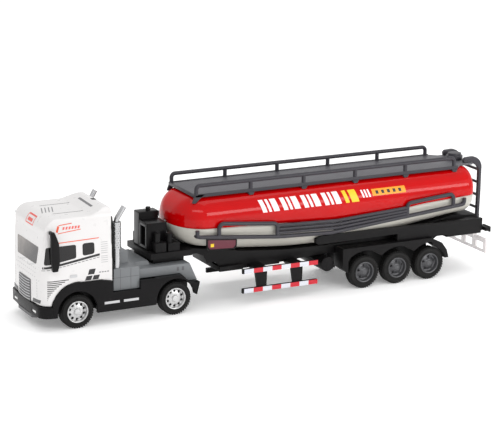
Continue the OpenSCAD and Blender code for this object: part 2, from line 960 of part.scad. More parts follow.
module ladder() {
    y = 12;
    k = rear_k - 1.8;
    d = 2.4;
    rungs = [39.7 : 8.5 : 65.5];
    color([0.2, 0.2, 0.21])
        trailer_place() {
            both_sides() {
                across(y - d / 2, y + d / 2) {
                    stroke([[k, 33.2], [k, 61]], d);
                    ladder_cheek(k);
                }
                block([rear_k - 4, y - 1.4, 33], [k + 1, y + 1.4, 35.4]);
            }
            for (z = rungs)
                bar([k, -y, z], [k, y, z], 1.8);
        }
}

// Clear lamp board across the back, with a row of open windows
module light_board() {
    windows = 4;
    pitch = 12.6;
    window_w = 8.8;
    color([0.85, 0.80, 0.80, 0.6])
        trailer_place()
            translate([rear_k - 4, 0, 0])
                difference() {
                    union() {
                        block([0, -half_w, 12.4], [1.6, half_w, 22]);
                        block([-1.4, -14, 21.2], [1.6, 14, 26]);
                    }
                    for (i = [0:windows - 1])
                        translate([-1, (i - (windows - 1) / 2) * pitch - window_w / 2, 14])
                            cube([4, window_w, 5]);
                }
}

module rear_lamp_arms() {
    color([0.12, 0.12, 0.12])
        trailer_place()
            both_sides() {
                block([rear_k - 4, 14, 27.2], [rear_k - 1, half_w, 29.6]);
                block([rear_k - 1, 18, 26.4], [rear_k, half_w, 30]);
            }
}

module trailer_screws() {
    color([0.6, 0.6, 0.62])
        trailer_place()
            for (p = TRAILER_SCREWS)
                translate([p[0], 0, p[1]]) screw();
}

// ---- One line per node ----------------------------------------------------

cab_shell();
windscreen();
side_windows();
grille();
headlights();
cab_interior();
door_mirror(-1);  // mirror_left
door_mirror(1);  // mirror_right
cab_back_panel();
front_bumper();
fog_lamps();
fairing(-1);  // fairing_left
fairing(1);  // fairing_right
step_plates();
tractor_chassis();
frame_deck();
fifth_wheel();
exhaust_stacks();
exhaust_shields();
tractor_screws();
trailer_frame();
kingpin();
pump_cabinet();
valve_block();
tank_top();
tank_bottom();
walkway();
handrail(-1);  // handrail_left
handrail(1);  // handrail_right
hose_cover();
side_rail(-1);  // side_rail_left
side_rail(1);  // side_rail_right
marker_plates();
marker_inserts();
side_guard(-1);  // side_guard_left
side_guard(1);  // side_guard_right
guard_stripes();
air_tank();
mudguard(-1);  // mudguard_left
mudguard(1);  // mudguard_right
ladder();
light_board();
rear_lamp_arms();
trailer_screws();
for (a = AXLES) {
    axle(a);
    rims(a);
    tyres(a);
}
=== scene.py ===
# %% [markdown]
# # A toy tanker truck
#
# The real toy is moulded plastic: a white tractor cab, a black frame, a red and stone grey
# tank, and many thin dark tubes. The CAD model already says where every part sits and how
# it moves. This lesson gives each part its finished shape and its surface.

import json
import math

import bmesh
import bpy
import numpy as np
from mathutils import Matrix, Vector
from mathutils.bvhtree import BVHTree


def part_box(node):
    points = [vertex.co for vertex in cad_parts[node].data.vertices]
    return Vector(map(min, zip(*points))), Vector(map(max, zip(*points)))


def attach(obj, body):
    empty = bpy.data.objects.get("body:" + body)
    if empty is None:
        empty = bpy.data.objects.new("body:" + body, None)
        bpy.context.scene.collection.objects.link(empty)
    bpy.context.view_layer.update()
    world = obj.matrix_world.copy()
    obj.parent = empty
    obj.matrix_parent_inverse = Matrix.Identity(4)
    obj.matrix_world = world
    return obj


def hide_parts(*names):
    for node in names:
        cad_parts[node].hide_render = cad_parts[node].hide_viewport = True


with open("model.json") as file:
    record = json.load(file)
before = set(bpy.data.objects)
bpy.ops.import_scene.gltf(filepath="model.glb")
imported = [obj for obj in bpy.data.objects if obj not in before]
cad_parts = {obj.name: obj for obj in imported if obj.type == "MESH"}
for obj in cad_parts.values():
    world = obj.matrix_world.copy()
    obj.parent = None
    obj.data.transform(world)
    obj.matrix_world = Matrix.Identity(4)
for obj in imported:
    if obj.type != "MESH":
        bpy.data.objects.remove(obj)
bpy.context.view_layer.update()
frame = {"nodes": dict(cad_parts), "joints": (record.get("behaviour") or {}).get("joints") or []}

# %% [markdown]
# Drawings of a truck are easiest to read in millimetres, measured back from a landmark.
# The tractor is measured from its front bumper and the trailer from its kingpin. Both
# landmarks come from the CAD model, so the finished parts land exactly on it.

# %% Landmarks
MM = 0.001
JOINTS = {joint["name"]: Vector(joint["pos_m"]) for joint in frame["joints"]}
FRONT_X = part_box("front_bumper")[0].x
KING_X = JOINTS["kingpin_swing"].x
HALF_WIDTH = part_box("fairing_right")[1].y / MM
TANK_LOW, TANK_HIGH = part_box("tank_top")
TANK_FRONT, TANK_END = ((corner.x - KING_X) / MM for corner in (TANK_LOW, TANK_HIGH))
TANK_TOP = TANK_HIGH.z / MM
TANK_HALF = TANK_HIGH.y / MM
DECK_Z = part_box("walkway")[1].z / MM
RAIL_LOW, RAIL_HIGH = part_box("handrail_right")
ROD_R = (RAIL_HIGH.y - RAIL_LOW.y) / MM / 2
TUBE_R = 1.2 * ROD_R  # the shown tube is a little stouter than the CAD rod
print("Tank from", TANK_FRONT, "to", TANK_END, "mm behind the kingpin")


# %% Small helpers for objects and meshes
def linked(name, data):
    """A new object in the scene."""
    thing = bpy.data.objects.new(name, data)
    bpy.context.scene.collection.objects.link(thing)
    return thing


def mesh_of(bm, name):
    """The working mesh written out as a mesh of its own."""
    mesh = bpy.data.meshes.new(name)
    bm.to_mesh(mesh)
    bm.free()
    return mesh


def in_place(origin_x):
    """From millimetres behind a landmark to the truck's own frame in metres."""
    return Matrix.Translation((origin_x, 0, 0)) @ Matrix.Scale(MM, 4)


def span(side, near, far):
    """The lowest and highest y of a band on one side of the truck."""
    return sorted((side * near, side * far))


def baked(thing, *helpers):
    """The plain mesh of an object after its modifiers. The object and its helpers go."""
    graph = bpy.context.evaluated_depsgraph_get()
    graph.update()
    mesh = bpy.data.meshes.new_from_object(thing.evaluated_get(graph))
    thing.modifiers.clear()
    for done in (thing, *helpers):
        bpy.data.objects.remove(done)
    return mesh


# %% [markdown]
# ## Surfaces
# Shader nodes are wired by hand in most scenes. Here a small class stands for one socket,
# so that sums on it read like ordinary sums, and one method makes any other node.


# %% A socket that can be used in sums
class Wire:
    """One shader socket. Sums on it add Math nodes."""

    def __init__(self, paint, socket):
        self.paint = paint
        self.socket = socket

    def sum(self, how, first, second):
        return self.paint.node("Math", {"operation": how}, {0: first, 1: second})

    def __add__(self, other):
        return self.sum("ADD", self, other)

    def __radd__(self, other):
        return self.sum("ADD", other, self)

    def __sub__(self, other):
        return self.sum("SUBTRACT", self, other)

    def __rsub__(self, other):
        return self.sum("SUBTRACT", other, self)

    def __mul__(self, other):
        return self.sum("MULTIPLY", self, other)

    def __rmul__(self, other):
        return self.sum("MULTIPLY", other, self)


# %% A material built from named nodes
class Paint:
    """A material with one Principled shader. Constants are set on its own sockets."""

    def __init__(self, name, constants=None):
        self.material = bpy.data.materials.new(name)
        self.material.use_nodes = True
        self.tree = self.material.node_tree
        self.shader = self.tree.nodes["Principled BSDF"]
        for label, value in (constants or {}).items():
            self.feed(label, value)

    def node(self, kind, settings=None, sockets=None, out=0):
        """Adds a node: its settings first, then its sockets. Returns one of its outputs."""
        made = self.tree.nodes.new("ShaderNode" + kind)
        for label, value in (settings or {}).items():
            setattr(made, label, value)
        for label, value in (sockets or {}).items():
            self.plug(made.inputs[label], value)
        return Wire(self, made.outputs[out])

    def plug(self, socket, value):
        if isinstance(value, Wire):
            self.tree.links.new(value.socket, socket)
        else:
            socket.default_value = value

    def feed(self, label, value):
        self.plug(self.shader.inputs[label], value)

    def place(self, scale=(1, 1, 1)):
        """Object coordinates, stretched."""
        spot = self.node("TexCoord", out=3)
        return self.node("Mapping", None, {"Vector": spot, "Scale": scale})

    def noise(self, size_mm, detail=3, scale=(1, 1, 1)):
        """A cloudy pattern of values about 0.5, with clouds of the given size."""
        return self.node(
            "TexNoise",
            None,
            {"Vector": self.place(scale), "Scale": 1 / (size_mm * MM), "Detail": detail},
        )

    def mix(self, factor, first, second):
        return self.node(
            "Mix", {"data_type": "RGBA"}, {0: factor, 6: first, 7: second}, out=2
        )

    def bump(self, height, distance_mm, strength=0.5):
        normal = self.node(
            "Bump", None, {"Height": height, "Distance": distance_mm * MM, "Strength": strength}
        )
        self.feed("Normal", normal)


def shade(colour, factor):
    """The colour made darker or lighter, as a node's RGBA value."""
    return tuple(min(1.0, c * factor) for c in colour[:3]) + (1.0,)


# %% [markdown]
# Moulded plastic is never quite even. A slow cloud of colour shows where the plastic flowed,
# a finer one makes the gloss uneven, and a very fine one is the texture of the steel mould.


# %% Moulded plastic
def moulded(name, colour, roughness, grain_mm=0.35, relief_mm=0.012, cloud=0.06, constants=None):
    """Plastic with flow clouds, uneven gloss and the fine texture of its mould."""
    paint = Paint(name, constants)
    cloudy = paint.noise(14, 3)
    fine = paint.noise(grain_mm, 2)
    smear = paint.noise(4, 4)
    paint.feed(
        "Base Color", paint.mix(cloudy, shade(colour, 1 - cloud), shade(colour, 1 + cloud))
    )
    paint.feed("Roughness", smear * 0.16 + (roughness - 0.08))
    paint.bump(fine, relief_mm)
    return paint.material


DULL = {"Specular IOR Level": 0.14}
GLOSSY = {"Coat Weight": 0.6, "Coat Roughness": 0.06}
LACQUER = {"Specular IOR Level": 0.04, "Coat Weight": 0.4, "Coat Roughness": 0.05}
CAB_WHITE = moulded("cab_white", (0.70, 0.685, 0.68), 0.3, 0.9, 0.006, 0.02, {"Coat Weight": 0.3})
RED = moulded("tank_red", (0.47, 0.0002, 0.0010), 0.2, 1.1, 0.008, 0.08, LACQUER)
STONE = moulded("tank_stone", (0.46, 0.445, 0.40), 0.38, 0.5, 0.010, 0.07)
BLACK = moulded("black_satin", (0.0062, 0.0057, 0.006), 0.40, 0.3, 0.014, 0.2, DULL)
BLACK_GLOSS = moulded("black_gloss", (0.006, 0.0055, 0.006), 0.24, 0.8, 0.006, 0.2,
                      {"Specular IOR Level": 0.12})
RAIL_GREY = moulded("rail_grey", (0.034, 0.032, 0.039), 0.36, 0.4, 0.012, 0.12,
                    {"Specular IOR Level": 0.3})
FRAME_GREY = moulded("frame_grey", (0.15, 0.158, 0.165), 0.44, 0.3, 0.014, 0.08)
TRIM_GREY = moulded("trim_grey", (0.085, 0.085, 0.088), 0.4, 0.3, 0.012, 0.1)
PALE_GREY = moulded("pale_grey", (0.52, 0.52, 0.53), 0.35, 0.4, 0.008, 0.05)
LAMP = moulded("lamp_lens", (0.70, 0.70, 0.69), 0.18, 0.9, 0.010, 0.05, GLOSSY)

# %% [markdown]
# The walkway carries a lattice of small raised diamonds to stand on, made where two waves
# cross. The tyres are satin rubber, dusty in places; their ribs and blocks are real shapes.


# %% Tread plate and rubber
DIAMOND_SCALE = 260.0
RUBBER_SHADES = ((0.008, 0.0078, 0.0078, 1), (0.016, 0.0155, 0.015, 1))


def tread_plate(name, colour):
    """Grey moulding with a lattice of small raised diamonds."""
    paint = Paint(name)
    cloudy = paint.noise(12, 3)
    one_way, other_way = (
        paint.node("TexWave", {"bands_direction": "DIAGONAL"},
                   {"Vector": paint.place((1, lean, 1)), "Scale": DIAMOND_SCALE})
        for lean in (1, -1)
    )
    studs = one_way * other_way
    base = paint.mix(cloudy, shade(colour, 0.9), shade(colour, 1.1))
    paint.feed("Base Color", paint.mix(studs * 0.35, base, shade(colour, 1.5)))
    paint.feed("Roughness", cloudy * 0.2 + 0.34)
    paint.bump(studs, 0.12)
    return paint.material


def rubber(name):
    """Satin black rubber with fine moulding noise."""
    paint = Paint(name, DULL)
    dusty = paint.noise(3, 4)
    fine = paint.noise(0.25, 2)
    paint.feed("Base Color", paint.mix(dusty, *RUBBER_SHADES))
    paint.feed("Roughness", dusty * 0.2 + 0.48)
    paint.bump(fine, 0.02)
    return paint.material


DECK_GREY = tread_plate("deck_grey", (0.085, 0.083, 0.093))
RUBBER = rubber("tyre_rubber")

# %% [markdown]
# The rims and the exhaust pipes are plated or painted metal. The finish is a little streaky
# along the way it was polished, so the pipes' noise is stretched; on the plated pipes the
# streaks are partly painted reflections. Glass is dark plastic with a painted reflection
# that grows lighter towards the top and the right side, and the lamp board is clear.


# %% Metal, glass and clear plastic
def metal(name, colour, roughness, stretch=(1, 1, 1), metallic=1.0):
    """Plated or painted metal with streaks: polishing, and partly painted reflections."""
    paint = Paint(name, {"Metallic": metallic})
    streak = paint.noise(1.2, 4, stretch)
    # The colour streaks are polishing marks and partly painted reflections, lighter and darker
    # bands.
    paint.feed("Base Color", paint.mix(streak, shade(colour, 0.82), shade(colour, 1.12)))
    paint.feed("Roughness", streak * 0.2 + (roughness - 0.1))
    paint.bump(streak, 0.01)
    return paint.material


def smoked(name, dark, light, roughness):
    """Dark clear plastic with a painted reflection, lighter towards the top and one side."""
    paint = Paint(name, {"Coat Weight": 0.15, "Specular IOR Level": 0.3})
    across = paint.node("SeparateXYZ", None, {"Vector": paint.place()}, out=1)
    height = paint.node("SeparateXYZ", None, {"Vector": paint.place()}, out=2)
    cloudy = paint.noise(9, 3)
    # Painted reflection: the colour grows lighter higher up and towards the truck's right side.
    painted_reflection_ramp = (height - 0.036) * 40 + across * 34
    paint.feed("Base Color", paint.mix(painted_reflection_ramp * cloudy, dark, light))
    paint.feed("Roughness", cloudy * 0.08 + roughness)
    paint.bump(cloudy, 0.05, 0.2)
    return paint.material


def clear(name, colour, alpha):
    """Clear plastic with faint moulding swirls."""
    paint = Paint(name, {"Coat Weight": 0.5})
    swirl = paint.noise(5, 4)
    paint.feed("Base Color", paint.mix(swirl, shade(colour, 0.92), shade(colour, 1.06)))
    paint.feed("Roughness", swirl * 0.12 + 0.1)
    paint.feed("Alpha", swirl * 0.14 + (alpha - 0.07))
    paint.bump(swirl, 0.05, 0.3)
    return paint.material


SILVER = metal("rim_silver", (0.60, 0.60, 0.60), 0.34, metallic=0.8)
DARK_RIM = metal("rim_dark", (0.085, 0.085, 0.09), 0.36, metallic=0.5)
# On the plated pipes the stretched colour streaks are partly painted reflections.
CHROME = metal("plated_silver", (0.50, 0.50, 0.51), 0.26, (1, 1, 0.1), 0.9)
STEEL = metal("bright_steel", (0.60, 0.60, 0.62), 0.3)
# The pale end of each glass is a painted reflection: strong on the windscreen, faint on the side
# windows.
WINDSCREEN = smoked("windscreen_glass", (0.040, 0.037, 0.037, 1), (0.44, 0.40, 0.37, 1), 0.1)
WINDOW = smoked("window_glass", (0.010, 0.009, 0.0095, 1), (0.035, 0.03, 0.03, 1), 0.1)
CLEAR = clear("clear_lamp_board", (0.72, 0.66, 0.66), 0.55)

# %% [markdown]
# The printed marks are flat ink: slightly uneven, with tiny pinholes where the ink is thin.


# %% Printed ink
def ink(name, colour, speckle=0.12):
    """Pad-printed ink with thin spots."""
    paint = Paint(name)
    thin = paint.noise(0.5, 4)
    paint.feed(
        "Base Color", paint.mix(thin, shade(colour, 1 - speckle), shade(colour, 1 + speckle))
    )
    paint.feed("Roughness", thin * 0.2 + 0.35)
    paint.bump(thin, 0.008)
    return paint.material


INK_BLACK = ink("ink_black", (0.012, 0.011, 0.012))
INK_GREY = ink("ink_grey", (0.16, 0.16, 0.165))
INK_PALE = ink("ink_pale_grey", (0.46, 0.46, 0.46))
INK_RED = ink("ink_red", (0.70, 0.09, 0.03))
INK_ROSE = ink("ink_rose", (0.72, 0.12, 0.10))
INK_WHITE = ink("ink_white", (0.80, 0.76, 0.78))
INK_YELLOW = ink("ink_yellow", (0.78, 0.52, 0.01))
INK_ORANGE = ink("ink_orange", (0.83, 0.30, 0.01))
STRIPE_RED = ink("stripe_red", (0.52, 0.006, 0.02))
STRIPE_WHITE = ink("stripe_white", (0.62, 0.63, 0.68))
DARK_RED = ink("marker_red", (0.105, 0.008, 0.022))
print(len(bpy.data.materials), "materials")

# %% [markdown]
# ## Making shapes
# A shape is gathered from simple solids in millimetres. When it is finished, its sharp edges
# are rounded a little, as every moulded edge is, and it is tied to the CAD body it moves with.


# %% Solids gathered into one shape
class Shape:
    """Simple solids in millimetres, measured from an origin on the truck's centre line."""

    def __init__(self, origin_x):
        self.origin_x = origin_x
        self.mesh = bmesh.new()

    def add(self, points, faces):
        """Adds faces, each given as numbers of points."""
        made = [self.mesh.verts.new(point) for point in points]
        for face in faces:
            self.mesh.faces.new([made[i] for i in face])

    def block(self, low, high):
        corners = [(x, y, z) for x in (low[0], high[0]) for y in (low[1], high[1])
                   for z in (low[2], high[2])]
        self.add(corners, [(0, 1, 3, 2), (4, 6, 7, 5), (0, 4, 5, 1), (2, 3, 7, 6),
                           (0, 2, 6, 4), (1, 5, 7, 3)])

    def prism(self, outline, axis, low, high):
        """Sweeps an outline of (x, z), (x, y) or (y, z) along the axis it leaves out."""
        put = {
            "y": lambda u, v, w: (u, w, v),
            "z": lambda u, v, w: (u, v, w),
            "x": lambda u, v, w: (w, u, v),
        }[axis]
        n = len(outline)
        points = [put(u, v, w) for w in (low, high) for u, v in outline]
        sides = [(i, (i + 1) % n, n + (i + 1) % n, n + i) for i in range(n)]
        self.add(points, sides + [tuple(range(n)), tuple(range(2 * n - 1, n - 1, -1))])

    def lathe(self, profile, steps=48, height=0):
        """Turns a profile of (radius, depth) round an axis that runs across the truck."""
        rings = []
        for i in range(steps):
            angle = 2 * math.pi * i / steps
            rings.append([(r * math.cos(angle), -depth, height + r * math.sin(angle))
                          for r, depth in profile])
        n = len(profile)
        points = [point for ring in rings for point in ring]
        faces = [(i * n + j, i * n + (j + 1) % n, ((i + 1) % steps) * n + (j + 1) % n,
                  ((i + 1) % steps) * n + j) for i in range(steps) for j in range(n)]
        self.add(points, faces)

    def take(self, mesh):
        self.mesh.from_mesh(mesh)

    def to_mesh(self, name, bevel=0.0):
        """The finished mesh in metres, with its sharp edges rounded by the bevel in mm."""
        bm = self.mesh
        bmesh.ops.remove_doubles(bm, verts=bm.verts, dist=1e-4)
        bmesh.ops.recalc_face_normals(bm, faces=bm.faces)
        if bevel:
            round_edges(bm, bevel)
        bm.transform(in_place(self.origin_x))
        return mesh_of(bm, name)


def round_edges(bm, width, sharp=35, rounds=2):
    """Rounds every edge that turns more than the given number of degrees."""
    edges = [e for e in bm.edges
             if len(e.link_faces) == 2 and e.calc_face_angle(0) > math.radians(sharp)]
    bmesh.ops.bevel(bm, geom=edges, offset=width, segments=rounds, profile=0.6,
                    affect="EDGES", clamp_overlap=True)


# %% Finish a mesh as a piece of the truck
def finish(name, mesh, material, body, slot, *nodes, smooth=32):
    """Gives a mesh its material, ties it to a body and hides the CAD nodes it stands for."""
    mesh.name = name
    mesh.materials.clear()
    mesh.materials.append(material)
    mesh.polygons.foreach_set("material_index", [0] * len(mesh.polygons))
    mesh.shade_smooth()
    mesh.set_sharp_from_angle(angle=math.radians(smooth))
    piece = linked(name, mesh)
    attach(piece, body)
    if nodes:
        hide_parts(*nodes)
    print(f"{name}: {len(mesh.polygons)} faces")
    return piece


def arc(centre, radius, start, end, steps=12):
    """Points of an arc between two angles in degrees."""
    return [(centre[0] + radius * math.cos(math.radians(a)),
             centre[1] + radius * math.sin(math.radians(a)))
            for a in np.linspace(start, end, steps)]


# %% [markdown]
# Many CAD parts already have the right shape and only look too sharp. A copy of such a part
# is merged into one skin, its flat faces are joined up, and its edges are rounded.


# %% Rounded copies of CAD parts
def soften(node, width_mm, material, body, slot):
    """A copy of a CAD part with its moulded edges rounded."""
    bm = bmesh.new()
    bm.from_mesh(frame["nodes"][node].data)
    bmesh.ops.remove_doubles(bm, verts=bm.verts, dist=1e-6)
    bmesh.ops.dissolve_limit(bm, angle_limit=math.radians(2), verts=bm.verts, edges=bm.edges)
    before = sum(face.calc_area() for face in bm.faces)
    round_edges(bm, width_mm * MM)
    bmesh.ops.triangulate(bm, faces=[face for face in bm.faces if len(face.verts) > 4])
    after = sum(face.calc_area() for face in bm.faces)
    print(f"{node}: rounded, area {after / before:.3f} of the sharp one")
    return finish(node + "_shown", mesh_of(bm, node), material, body, slot, node)


SOFTENED = [
    ("tractor_chassis", 0.3, BLACK, "tractor", "black_plastic"),
    ("front_bumper", 0.45, BLACK_GLOSS, "tractor", "black_gloss"),
    ("fairing_left", 0.2, BLACK_GLOSS, "tractor", "black_gloss"),
    ("fairing_right", 0.2, BLACK_GLOSS, "tractor", "black_gloss"),
    ("frame_deck", 0.4, FRAME_GREY, "tractor", "grey_deck"),
    ("fifth_wheel", 0.4, BLACK, "tractor", "black_plastic"),
    ("cab_back_panel", 0.3, BLACK, "tractor", "black_plastic"),
    ("mirror_left", 0.5, BLACK, "tractor", "black_plastic"),
    ("mirror_right", 0.5, BLACK, "tractor", "black_plastic"),
    ("step_plates", 0.2, PALE_GREY, "tractor", "silver_trim"),
    ("fog_lamps", 0.15, LAMP, "tractor", "lamp_lens"),
    ("headlights", 0.15, TRIM_GREY, "tractor", "lamp_lens"),
    ("trailer_frame", 0.4, BLACK, "trailer", "black_plastic"),
    ("pump_cabinet", 0.35, BLACK_GLOSS, "trailer", "black_gloss"),
    ("valve_block", 0.35, BLACK, "trailer", "black_plastic"),
    ("hose_cover", 0.4, RAIL_GREY, "trailer", "black_plastic"),
    ("marker_plates", 0.25, BLACK, "trailer", "black_plastic"),
    ("marker_inserts", 0.1, DARK_RED, "trailer", "dark_red"),
    ("side_guard_left", 0.3, BLACK, "trailer", "black_plastic"),
    ("side_guard_right", 0.3, BLACK, "trailer", "black_plastic"),
    ("air_tank", 0.6, BLACK_GLOSS, "trailer", "black_plastic"),
    ("mudguard_left", 0.4, BLACK, "trailer", "black_plastic"),
    ("mudguard_right", 0.4, BLACK, "trailer", "black_plastic"),
    ("light_board", 0.3, CLEAR, "trailer", "clear_lamp"),
    ("rear_lamp_arms", 0.3, BLACK, "trailer", "black_plastic"),
]
for row in SOFTENED:
    soften(*row)

# %% [markdown]
# ## Geometry Nodes
# Two small node trees do the repeated work. One makes a round tube along a path and bends
# its corners. The other repeats a shape, each copy a step and a turn on from the last.


# %% Build the two trees
def new_tree(name, inputs):
    """An empty Geometry Nodes tree with named inputs. Returns it and the sockets' names."""
    tree = bpy.data.node_groups.new(name, "GeometryNodeTree")
    tree.interface.new_socket("Geometry", in_out="INPUT", socket_type="NodeSocketGeometry")
    ids = {}
    for label, kind in inputs:
        socket = tree.interface.new_socket(label, in_out="INPUT", socket_type=kind)
        ids[label] = socket.identifier
    tree.interface.new_socket("Geometry", in_out="OUTPUT", socket_type="NodeSocketGeometry")
    return tree, ids


def wire(tree, source, socket, target, label):
    """Links one node's output to another's input, by name or number."""
    tree.links.new(source.outputs[socket], target.inputs[label])


def close_tree(tree, start, last, socket):
    """Ends a tree with real geometry in its material."""
    real = tree.nodes.new("GeometryNodeRealizeInstances")
    dress = tree.nodes.new("GeometryNodeSetMaterial")
    end = tree.nodes.new("NodeGroupOutput")
    wire(tree, last, socket, real, "Geometry")
    wire(tree, real, "Geometry", dress, "Geometry")
    wire(tree, start, "Material", dress, "Material")
    wire(tree, dress, "Geometry", end, "Geometry")


def tube_tree():
    """Sweeps a circle along a path, after bending the path's corners round."""
    tree, ids = new_tree("Tube", [("Radius", "NodeSocketFloat"), ("Bend", "NodeSocketFloat"),
                                  ("Material", "NodeSocketMaterial")])
    start = tree.nodes.new("NodeGroupInput")
    fillet = tree.nodes.new("GeometryNodeFilletCurve")
    fillet.mode = "POLY"
    fillet.inputs["Count"].default_value = 6
    fillet.inputs["Limit Radius"].default_value = True
    circle = tree.nodes.new("GeometryNodeCurvePrimitiveCircle")
    circle.inputs["Resolution"].default_value = 16
    sweep = tree.nodes.new("GeometryNodeCurveToMesh")
    sweep.inputs["Fill Caps"].default_value = True
    wire(tree, start, "Geometry", fillet, "Curve")
    wire(tree, start, "Bend", fillet, "Radius")
    wire(tree, start, "Radius", circle, "Radius")
    wire(tree, fillet, "Curve", sweep, "Curve")
    wire(tree, circle, "Curve", sweep, "Profile Curve")
    close_tree(tree, start, sweep, "Mesh")
    return tree, ids


def repeat_tree():
    """Puts copies of a shape on points, each a step and a turn on from the last."""
    tree, ids = new_tree("Repeat", [("Count", "NodeSocketInt"), ("Step", "NodeSocketVector"),
                                    ("Turn", "NodeSocketVector"),
                                    ("Material", "NodeSocketMaterial")])
    start = tree.nodes.new("NodeGroupInput")
    points = tree.nodes.new("GeometryNodePoints")
    index = tree.nodes.new("GeometryNodeInputIndex")
    copies = tree.nodes.new("GeometryNodeInstanceOnPoints")
    for label, target, socket in (("Step", points, "Position"), ("Turn", copies, "Rotation")):
        scale = tree.nodes.new("ShaderNodeVectorMath")
        scale.operation = "SCALE"
        wire(tree, start, label, scale, 0)
        wire(tree, index, 0, scale, "Scale")
        wire(tree, scale, 0, target, socket)
    wire(tree, start, "Count", points, "Count")
    wire(tree, points, 0, copies, "Points")
    wire(tree, start, "Geometry", copies, "Instance")
    close_tree(tree, start, copies, "Instances")
    return tree, ids


TUBE, TUBE_IDS = tube_tree()
REPEAT, REPEAT_IDS = repeat_tree()


# %% Bake a tree into a plain mesh
def grow(data, tree, ids, **values):
    """Runs a tree on a mesh or a curve and returns the plain mesh it makes."""
    carrier = linked("carrier", data)
    modifier = carrier.modifiers.new("tree", "NODES")
    modifier.node_group = tree
    for label, value in values.items():
        modifier[ids[label.title()]] = value
    return baked(carrier)


def tube(path, radius, bend, material):
    """A round tube in millimetres along a path, with its corners bent round."""
    curve = bpy.data.curves.new("path", "CURVE")
    curve.dimensions = "3D"
    spline = curve.splines.new("POLY")
    spline.points.add(len(path) - 1)
    for point, place in zip(spline.points, path):
        point.co = (*place, 1)
    return grow(curve, TUBE, TUBE_IDS, radius=float(radius), bend=float(bend),
                material=material)


def repeat(shape, count, step=(0, 0, 0), turn=(0, 0, 0), material=None):
    """Copies of a shape in millimetres, each a step and a turn on from the last."""
    bm = shape.mesh
    bmesh.ops.recalc_face_normals(bm, faces=bm.faces)
    return grow(mesh_of(bm, "item"), REPEAT, REPEAT_IDS, count=count, step=step, turn=turn,
                material=material)


def moved(mesh, shift):
    """A mesh in millimetres moved to its place."""
    mesh.transform(Matrix.Translation(shift))
    return mesh


def joined(meshes):
    """Several meshes as one."""
    whole = bmesh.new()
    for mesh in meshes:
        whole.from_mesh(mesh)
    return mesh_of(whole, "joined")


def gathered(origin_x, meshes):
    """Several meshes in millimetres as one mesh in its place."""
    mesh = joined(meshes)
    mesh.transform(in_place(origin_x))
    return mesh


# %% [markdown]
# ## The tank
# The tank is drawn as a row of cross-sections. Between the ends only the belly and the seam
# change height. At each end the sections shrink towards the middle, which makes the dome.
# The red shell is everything above the seam and the stone grey shell everything below it.

# %% Cross-sections of the tank
BELLY = [(14, 37.6), (50, 31.6), (80, 28.8), (112, 28.2), (150, 29.6), (206, 37.6)]
SEAM = [(0, 51.6), (16, 51.2), (72, 49.2), (112, 46.2), (158, 48.4), (174, 50.6), (222, 53)]
SHOULDER_R = 14
NOSE_K = TANK_FRONT + 2
NOSE_DEPTH = 18
TAIL_DEPTH = 8
NOSE_FULLNESS = 0.85  # a smaller power makes a blunter dome
TAIL_FULLNESS = 0.45
SHELL_WALL = 1.2


def height_at(line, k):
    """Height of a line of (k, z) points at k, with its corners smoothed out."""
    spots, heights = zip(*line)
    near = [np.interp(k + d, spots, heights) for d in (-8, -4, 0, 4, 8)]
    return float(np.mean(near))


def stations():
    """The tank's cross-sections as (k, size), where size is 1 between the domes."""
    nose = [(NOSE_K + NOSE_DEPTH * (1 - math.sin(a)), math.cos(a) ** NOSE_FULLNESS)
            for a in np.linspace(math.pi / 2, 0, 17)[:-1]]
    middle = [(float(k), 1.0)
              for k in np.linspace(NOSE_K + NOSE_DEPTH, TANK_END - TAIL_DEPTH, 64)]
    tail = [(TANK_END - TAIL_DEPTH * (1 - math.sin(a)), math.cos(a) ** TAIL_FULLNESS)
            for a in np.linspace(0, math.pi / 2, 13)[1:]]
    return nose + middle + tail


def upper_half(seam, _):
    """From the seam up over one shoulder to the middle of the top."""
    shoulder = arc((TANK_HALF - SHOULDER_R, TANK_TOP - SHOULDER_R), SHOULDER_R, 0, 90)
    wall = [(TANK_HALF, z) for z in np.linspace(seam, TANK_TOP - SHOULDER_R, 4)[:-1]]
    return wall + shoulder + [(5, TANK_TOP), (0, TANK_TOP)]


def lower_half(seam, belly):
    """From the seam down and in to the middle of the belly."""
    half = TANK_HALF - 0.3
    power = 2 / 2.4
    return [(half * math.cos(a) ** power, seam - (seam - belly) * math.sin(a) ** power)
            for a in np.linspace(0, math.pi / 2, 18)]


# %% Loft the two shells
def shell(name, half_section, material, slot, node):
    """Lofts one shell of the tank and gives it its wall."""
    shape = Shape(KING_X)
    rows = []
    for k, size in stations():
        seam = height_at(SEAM, k)
        half = half_section(seam, height_at(BELLY, k))
        whole = half + [(-y, z) for y, z in half[-2::-1]]
        rows.append([(k, y * size, seam + (z - seam) * size) for y, z in whole])
    n = len(rows[0])
    points = [point for row in rows for point in row]
    faces = [(i * n + j, i * n + j + 1, (i + 1) * n + j + 1, (i + 1) * n + j)
             for i in range(len(rows) - 1) for j in range(n - 1)]
    shape.add(points, faces)
    piece = finish(name, shape.to_mesh(name), material, "trailer", slot, node)
    wall = piece.modifiers.new("wall", "SOLIDIFY")
    wall.thickness = SHELL_WALL * MM
    wall.offset = -1
    return piece


tank_red = shell("tank_upper_shell", upper_half, RED, "red_gloss", "tank_top")
shell("tank_lower_shell", lower_half, STONE, "stone_shell", "tank_bottom")

# %% [markdown]
# ## Tubes
# The walkway's handrails and the side rails are dark tubes bent round a few corners. Each is
# a path for the tube tree, and its posts are short straight tubes of the same kind.

